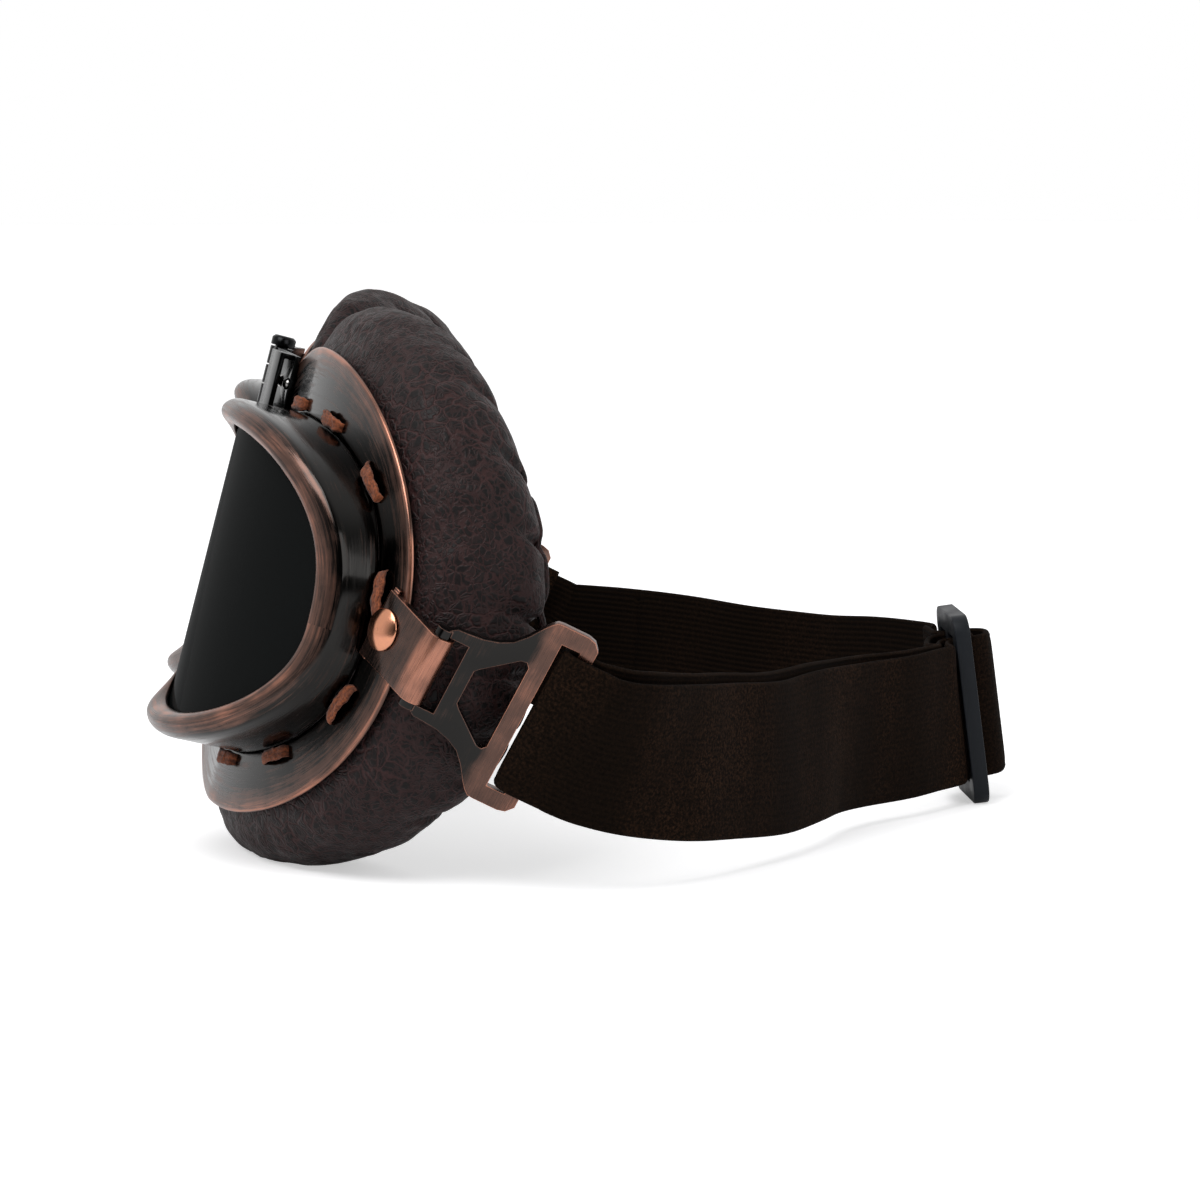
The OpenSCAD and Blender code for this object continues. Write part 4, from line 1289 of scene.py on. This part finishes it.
    def seam(self, material: bpy.types.Material) -> None:
        """Lays the thin rolled seam along the back of the gathers.

        Args:
            material: Its finish.
        """
        matrix = self.cup.rig.matrix(self.cup.side)
        spots = [self.section(360 * i / 150)[13] for i in range(150)]
        middle = Vector((2.0, 0, 2.0))
        rings = []
        for i, spot in enumerate(spots):
            run = (spots[(i + 1) % 150] - spots[i - 1]).normalized()
            out = (spot - middle)
            out = (out - run * out.dot(run)).normalized()
            side = run.cross(out)
            wave = math.cos(self.gathers * 2 * math.pi * i / 150)
            base = spot + out * (-0.45 - 1.5 * max(0.0, wave) ** 4) + Vector((0, -0.15, 0))
            ring = []
            for j in range(8):
                turn = 2 * math.pi * j / 8
                point = matrix @ (base + (out * math.cos(turn) + side * math.sin(turn)) * 0.85)
                point.z = max(point.z, 0.00003)
                ring.append(point)
            rings.append(ring)
        piece = skin(f"{self.cup.side.word}_seam_roll", rings, True)
        refine(piece, 1)
        finish_piece(piece, material, self.cup.side.eyecup, "dark_leather")


# ---- buckles, hinge and slider ----


@dataclass
class Buckle:
    """One side buckle."""

    side: Side
    rig: BuckleRig

    def build(self, material: bpy.types.Material) -> None:
        """Rounds the buckle's edges and gives it its finish.

        Args:
            material: The finish.
        """
        word = self.side.word
        piece = rounded_copy(f"{word}_buckle", f"{word}_buckle_plate", 0.32, 40.0)
        own_places(piece.data, self.rig.matrix(self.side))
        finish_piece(piece, material, self.side.buckle, "aged_copper", f"{word}_buckle")


@dataclass
class NoseHinge:
    """The hinge between the eyecups: its leaves, keepers, rivets and pin."""

    edge: float = 0.16

    def build(self, finishes: dict[str, bpy.types.Material]) -> None:
        """Rounds the parts and gives them their finishes.

        Args:
            finishes: The materials by name.
        """
        for side in Side:
            for part in ("hinge_leaf", "keeper"):
                piece = rounded_copy(f"{side.word}_{part}", f"{side.word}_{part}_dressed", self.edge, 50.0)
                finish_piece(piece, finishes["gunmetal"], side.eyecup, "gunmetal", f"{side.word}_{part}")
            repaint(f"{side.word}_hinge_rivets", finishes["steel"])
        piece = rounded_copy("hinge_pin", "hinge_pin_dressed", self.edge, 50.0)
        finish_piece(piece, finishes["gunmetal"], Side.LEFT.eyecup, "gunmetal", "hinge_pin")


@dataclass
class Slider:
    """The three-bar slider on the strap."""

    edge: float = 0.55

    def build(self, material: bpy.types.Material) -> None:
        """Rounds the slider's edges and gives it its finish.

        Args:
            material: The finish.
        """
        piece = rounded_copy("slider", "strap_slider", self.edge, 50.0, 3)
        finish_piece(piece, material, Side.LEFT.eyecup, "black_plastic", "slider")


# ---- strap ----


@dataclass
class Strap:
    """The elastic strap, doubled on the wearer's left. Its route repeats the CAD's points, in mm."""

    buckle: BuckleRig
    wide: float = 29.0
    thick: float = 1.6
    fold_radius: float = 1.95
    fold_reach: float = 2.75
    fold_at: float = 23.6

    OUTER = ((108.7, -15.7, 28.5), (108.9, -13.4, 27.3), (108.2, -9, 25.8), (105.2, -2, 24.2), (97.6, 6.6, 22.6), (86, 17, 21),
             (71.5, 29, 19.4), (58, 38.9, 19.4), (45, 48.9, 18.8), (33, 58.8, 18.4), (23, 68.4, 18.6), (16.3, 74.4, 18.6))
    OUTER_SLIDE = ((13.4, 75.8, 18.7), (10.8, 76.1, 18.8), (9.1, 76.5, 18.8), (8, 78, 19), (7.7, 79.8, 19.3), (7.9, 81.6, 19.5),
                   (6.7, 84.2, 19.8), (4.4, 85.5, 20), (1.5, 86.1, 20.1), (-1.6, 85.2, 20), (-3.6, 83.1, 19.7), (-4.5, 80.6, 19.4),
                   (-5.2, 78.9, 19.1), (-6.8, 77.6, 19), (-9.2, 77.4, 18.9), (-13.1, 77.5, 19), (-16.1, 77.4, 19))
    INNER = ((105.1, -12.9, 28.8), (105, -10.8, 28.2), (103.9, -7.7, 27.3), (101.9, -3.9, 26.3), (97.7, 1, 25), (91.5, 7.1, 23.8),
             (83.6, 14.2, 22.7), (74.1, 22.3, 21.3), (64.9, 29.7, 20.6), (56, 36.2, 20.6), (47.2, 42.9, 20), (38.8, 49.7, 19.5),
             (30.8, 56.4, 19.1), (23.8, 63.2, 19), (18.2, 68.6, 18.8), (14.2, 72.1, 18.6))
    INNER_SLIDE = ((10.1, 72.4, 18.3), (5.1, 73, 18.4), (1.2, 74.1, 18.5), (-1.4, 75.7, 18.7), (-2.4, 78, 19), (-2.2, 81, 19.4),
                   (-0.2, 82.6, 19.6), (3.8, 82.4, 19.6), (5.4, 80.7, 19.4), (5.3, 78.2, 19), (6.7, 75.4, 18.7), (9.7, 74.4, 18.5),
                   (13.2, 73.9, 18.5))
    FAR = ((-22.2, 77.4, 18.9), (-27.0, 77.3, 18.9), (-40.9, 70.6, 18.6), (-53.9, 62.2, 17.6), (-64.9, 52.6, 17.6),
           (-75.3, 41.4, 18.6), (-84.5, 29.9, 19.6), (-91.9, 20.8, 20.0), (-97.1, 15.2, 20.1), (-100.3, 9.2, 20.7),
           (-101.2, 5.6, 22.4), (-101.6, 3.3, 23.5))
    NEAR_TURN = (0, 0.02, 0.2, 0.5, 0.8, 0.95, 1, 1, 1, 1, 1, 1)
    FAR_TURN = (1, 1, 1, 1, 1, 0.97, 0.9, 0.75, 0.5, 0.2, 0.02, 0)
    SLIDER_UP = (0, -0.130526, 0.991445)
    SLIDER_AT = (-4.4, 79.0, 19.3)

    def section(self) -> tuple[list[tuple[float, float]], list[float]]:
        """The strap's section: a flat band with rounded edges and a stitched line inside each edge.

        Returns:
            The points through and across the strap, and how napped each is.
        """
        half, flat = self.wide / 2, self.thick / 2
        steps = [-1, -0.93, -0.905, -0.88, -0.6, -0.3, 0, 0.3, 0.6, 0.88, 0.905, 0.93, 1]
        face = [(flat - (0.22 if abs(s) == 0.905 else 0.42 if abs(s) == 1 else 0.0), s * half * (0.992 if abs(s) == 1 else 1)) for s in steps]
        points = [(-x, y) for x, y in face] + [(0.0, half)] + list(reversed(face)) + [(0.0, -half)]
        nap = [0.2] * len(face) + [0.4] + [1.0] * len(face) + [0.4]
        return points, nap

    def ribbon(self, name: str, points: Sequence[Vector], ups: Sequence[Vector], wave: float, part: slice = slice(None)) -> bpy.types.Object:
        """Sweeps the strap's section along a line.

        Args:
            name: The piece's name.
            points: The line in mm.
            ups: The direction of the strap's width at each point.
            wave: Depth of the soft waves in its face, mm.
            part: Which of the rings become this piece.

        Returns:
            The piece.
        """
        shape, nap = self.section()
        bar = self.buckle.point(self.fold_at, 0)
        anchors = (bar, self.buckle.rig.far_side() @ bar, Vector(self.SLIDER_AT))
        rings = []
        last = len(points) - 1
        for i, (point, up) in enumerate(zip(points, ups)):
            run = (points[min(i + 1, last)] - points[max(i - 1, 0)]).normalized()
            out = run.cross(up).normalized()
            tall = out.cross(run).normalized()
            ring = []
            away = Vector((point.x, point.y - 10, 0)).normalized()
            held = min((point - place).length for place in anchors)
            swing = wave * out.dot(away) * min(max((held - 15) / 20, 0.0), 1.0)
            for x, y in shape:
                ripple = swing * noise.noise(point * 0.05 + Vector((0, 0, 0.5 * y / self.wide)))
                ring.append((point + out * (x + ripple) + tall * y) * MM)
            rings.append(ring)
        piece = skin(name, rings[part], False, {"nap": nap})
        refine(piece, 1)
        return piece

    def lean(self, share: float, mirrored: bool) -> Vector:
        """The direction of the strap's width between the buckle's bar and upright.

        Args:
            share: 0 at the bar, 1 upright.
            mirrored: Whether it is on the wearer's right.

        Returns:
            The direction.
        """
        bar = self.buckle.matrix(Side.RIGHT if mirrored else Side.LEFT).col[2].xyz.normalized()
        return (bar * (1 - share) + Vector((0, 0, 1)) * share).normalized()

    def fold(self, mirrored: bool) -> list[Vector]:
        """The strap's way round a buckle's outer bar, from its outer to its inner face.

        Args:
            mirrored: Whether it is on the wearer's right.

        Returns:
            The points in mm.
        """
        r, x0 = self.fold_radius, self.fold_at
        line = [self.buckle.point(29.0, -r), self.buckle.point(26.3, -r)]
        for angle in range(270, 89, -20):
            turn = math.radians(angle)
            line.append(self.buckle.point(x0 + self.fold_reach * math.cos(turn), r * math.sin(turn)))
        line += [self.buckle.point(26.3, r), self.buckle.point(29.0, r)]
        far = self.buckle.rig.far_side()
        return [far @ point for point in line] if mirrored else line

    def route(self, points: Sequence[Sequence[float]], pieces: int) -> list[Vector]:
        """A smooth line through the points of a run on the near side.

        Args:
            points: The points, measured from the nose pin sideways.
            pieces: Steps between two of them.

        Returns:
            The line in the shared frame, in mm.
        """
        shift = Vector((self.buckle.rig.side_shift, 0, 0))
        return flow([Vector(point) - shift for point in points], pieces)

    def near(self, material: bpy.types.Material) -> None:
        """The doubled run: outer layer, fold at the left buckle and inner layer in one band.

        Args:
            material: Its finish.
        """
        slide = Vector(self.SLIDER_UP)
        outer = self.route(self.OUTER, 4)
        turns = np.interp(np.linspace(0, 11, len(outer)), range(12), self.NEAR_TURN)
        outer_ups = [self.lean(float(k), False) for k in turns]
        slid = self.route(self.OUTER_SLIDE, 2)
        inner = self.route(self.INNER, 3)
        inner_turns = np.interp(np.linspace(1, 11, len(inner)), range(12), self.NEAR_TURN)
        inner_ups = [self.lean(float(k), False) for k in inner_turns]
        inner_slid = self.route(self.INNER_SLIDE, 2)
        fold = self.fold(False)
        line = list(reversed(slid)) + list(reversed(outer)) + fold + inner + inner_slid
        bar = Vector(self.buckle.up)
        ups = [slide] * len(slid) + list(reversed(outer_ups)) + [bar] * len(fold) + inner_ups + [slide] * len(inner_slid)
        piece = self.ribbon("strap_near_side", line, [-up for up in ups], 3.4)
        finish_piece(piece, material, "", "elastic", "left_strap_loop", "strap_outer_run", "strap_inner_run")
        end = self.buckle.point(29.5, 0) * MM
        Side.LEFT.eyecup
        Side.LEFT.buckle
        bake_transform(piece)

    def far(self, material: bpy.types.Material) -> None:
        """The single run on the wearer's right, in two lengths that meet beside the right eyecup.

        Args:
            material: Its finish.
        """
        line = flow([Vector(p) for p in self.FAR], 4)
        turns = np.interp(np.linspace(0, 11, len(line)), range(12), self.FAR_TURN)
        ups = [self.lean(float(k), True) for k in turns]
        fold = self.fold(True)
        line, ups = line + fold, ups + [self.lean(0.0, True)] * len(fold)
        cut = 26
        rear = self.ribbon("strap_far_side", line, ups, 2.0, slice(cut + 1))
        finish_piece(rear, material, "", "elastic", "strap_rear_run", "strap_far_run")
        Side.LEFT.eyecup
        Side.RIGHT.eyecup
        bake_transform(rear)
        tail = self.ribbon("strap_far_end", line, ups, 2.0, slice(cut, None))
        finish_piece(tail, material, "", "elastic", "right_strap_loop")
        Side.RIGHT.eyecup
        Side.RIGHT.buckle
        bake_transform(tail)


# ---- studio ----


@dataclass
class Studio:
    """Floor, soft lamps and the photograph's camera, in mm."""

    camera_at: tuple[float, float, float] = (898.97, -126.6, 144.0)
    target: tuple[float, float, float] = (4.07, 3.4, 42.64)
    focal: float = 136.65
    sensor: float = 36.0
    dim: float = 0.04

    def lamp(self, name: str, at: Sequence[float], size: float, power: float) -> None:
        """Adds a soft area lamp that looks at the object.

        Args:
            name: The lamp's name.
            at: Its place in mm.
            size: Its side in mm.
            power: Its power in watts.
        """
        data = bpy.data.lights.new(name, "AREA")
        data.size = size * MM
        data.energy = power
        lamp = bpy.data.objects.new(name, data)
        lamp.location = Vector(at) * MM
        lamp.rotation_euler = (Vector(self.target) - Vector(at)).to_track_quat("-Z", "Y").to_euler()
        bpy.context.scene.collection.objects.link(lamp)

    def sky(self) -> None:
        """A white tent that is open and dim towards the camera, and plain white as a background."""
        world = bpy.data.worlds.new("studio")
        bpy.context.scene.world = world
        world.use_nodes = True
        tree = world.node_tree
        ground = tree.nodes["Background"]
        path = tree.nodes.new("ShaderNodeLightPath")
        seen = tree.nodes.new("ShaderNodeMath")
        seen.operation = "MAXIMUM"
        tree.links.new(path.outputs["Is Camera Ray"], seen.inputs[0])
        tree.links.new(path.outputs["Is Transmission Ray"], seen.inputs[1])
        where = tree.nodes.new("ShaderNodeTexCoord")
        split = tree.nodes.new("ShaderNodeSeparateXYZ")
        tree.links.new(where.outputs["Generated"], split.inputs[0])
        room = tree.nodes.new("ShaderNodeMapRange")
        room.interpolation_type = "SMOOTHSTEP"
        tree.links.new(split.outputs[0], room.inputs[0])
        for socket, value in zip(room.inputs[1:5], (0.0, 0.7, 0.85, self.dim)):
            socket.default_value = value
        level = tree.nodes.new("ShaderNodeMix")
        tree.links.new(seen.outputs[0], level.inputs[0])
        tree.links.new(room.outputs[0], level.inputs[2])
        level.inputs[3].default_value = 1.0
        ground.inputs["Color"].default_value = (1, 1, 1, 1)
        tree.links.new(level.outputs[0], ground.inputs["Strength"])

    def build(self) -> None:
        """Sets the stage and the camera."""
        work = bmesh.new()
        bmesh.ops.create_grid(work, x_segments=1, y_segments=1, size=4.0)
        mesh = bpy.data.meshes.new("floor")
        work.to_mesh(mesh)
        work.free()
        floor = link_mesh(mesh, "floor")
        floor.data.materials.append(PaleFloor().make())
        self.sky()
        self.lamp("key", (420, -420, 900), 620, 6.5)
        self.lamp("fill", (900, 500, 500), 600, 2.6)
        data = bpy.data.cameras.new("camera")
        data.lens = self.focal
        data.sensor_width = self.sensor
        data.clip_start = 0.01
        camera = bpy.data.objects.new("camera", data)
        camera.location = Vector(self.camera_at) * MM
        aim = Vector(self.target) - Vector(self.camera_at)
        camera.rotation_euler = aim.to_track_quat("-Z", "Y").to_euler()
        bpy.context.scene.collection.objects.link(camera)
        bpy.context.scene.camera = camera
        bpy.context.scene.view_settings.view_transform = "Standard"


def main() -> None:
    """Builds every sub-assembly in order and notes the sizes."""
    logging.basicConfig(level=logging.INFO, format="%(name)s: %(message)s")
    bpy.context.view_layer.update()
    Studio().build()
    finishes = {worn.value: AgedCopper(worn).make() for worn in Worn}
    finishes.update(
        bright=PolishedCopper().make(),
        gunmetal=DarkPlating("gunmetal", (0.011, 0.0115, 0.012), 0.16).make(),
        steel=DarkPlating("bright_steel", (0.42, 0.41, 0.40), 0.2).make(),
        lens=SmokedLens().make(),
        rubber=MattRubber().make(),
    )
    leather, suede, elastic = CrackedLeather().make(), RustSuede().make(), BrownElastic().make()
    rig = Rig()
    bar = BuckleRig(rig)
    for side in Side:
        cup = Eyecup(side, rig)
        cup.build(finishes)
        Cushion(cup).build(leather)
        Lace(cup).build(suede)
        Buckle(side, bar).build(finishes["far_end"])
    NoseHinge().build(finishes)
    strap = Strap(bar)
    strap.near(elastic)
    strap.far(elastic)
    Slider().build(BlackPlastic().make())


if __name__ == "__main__":
    main()
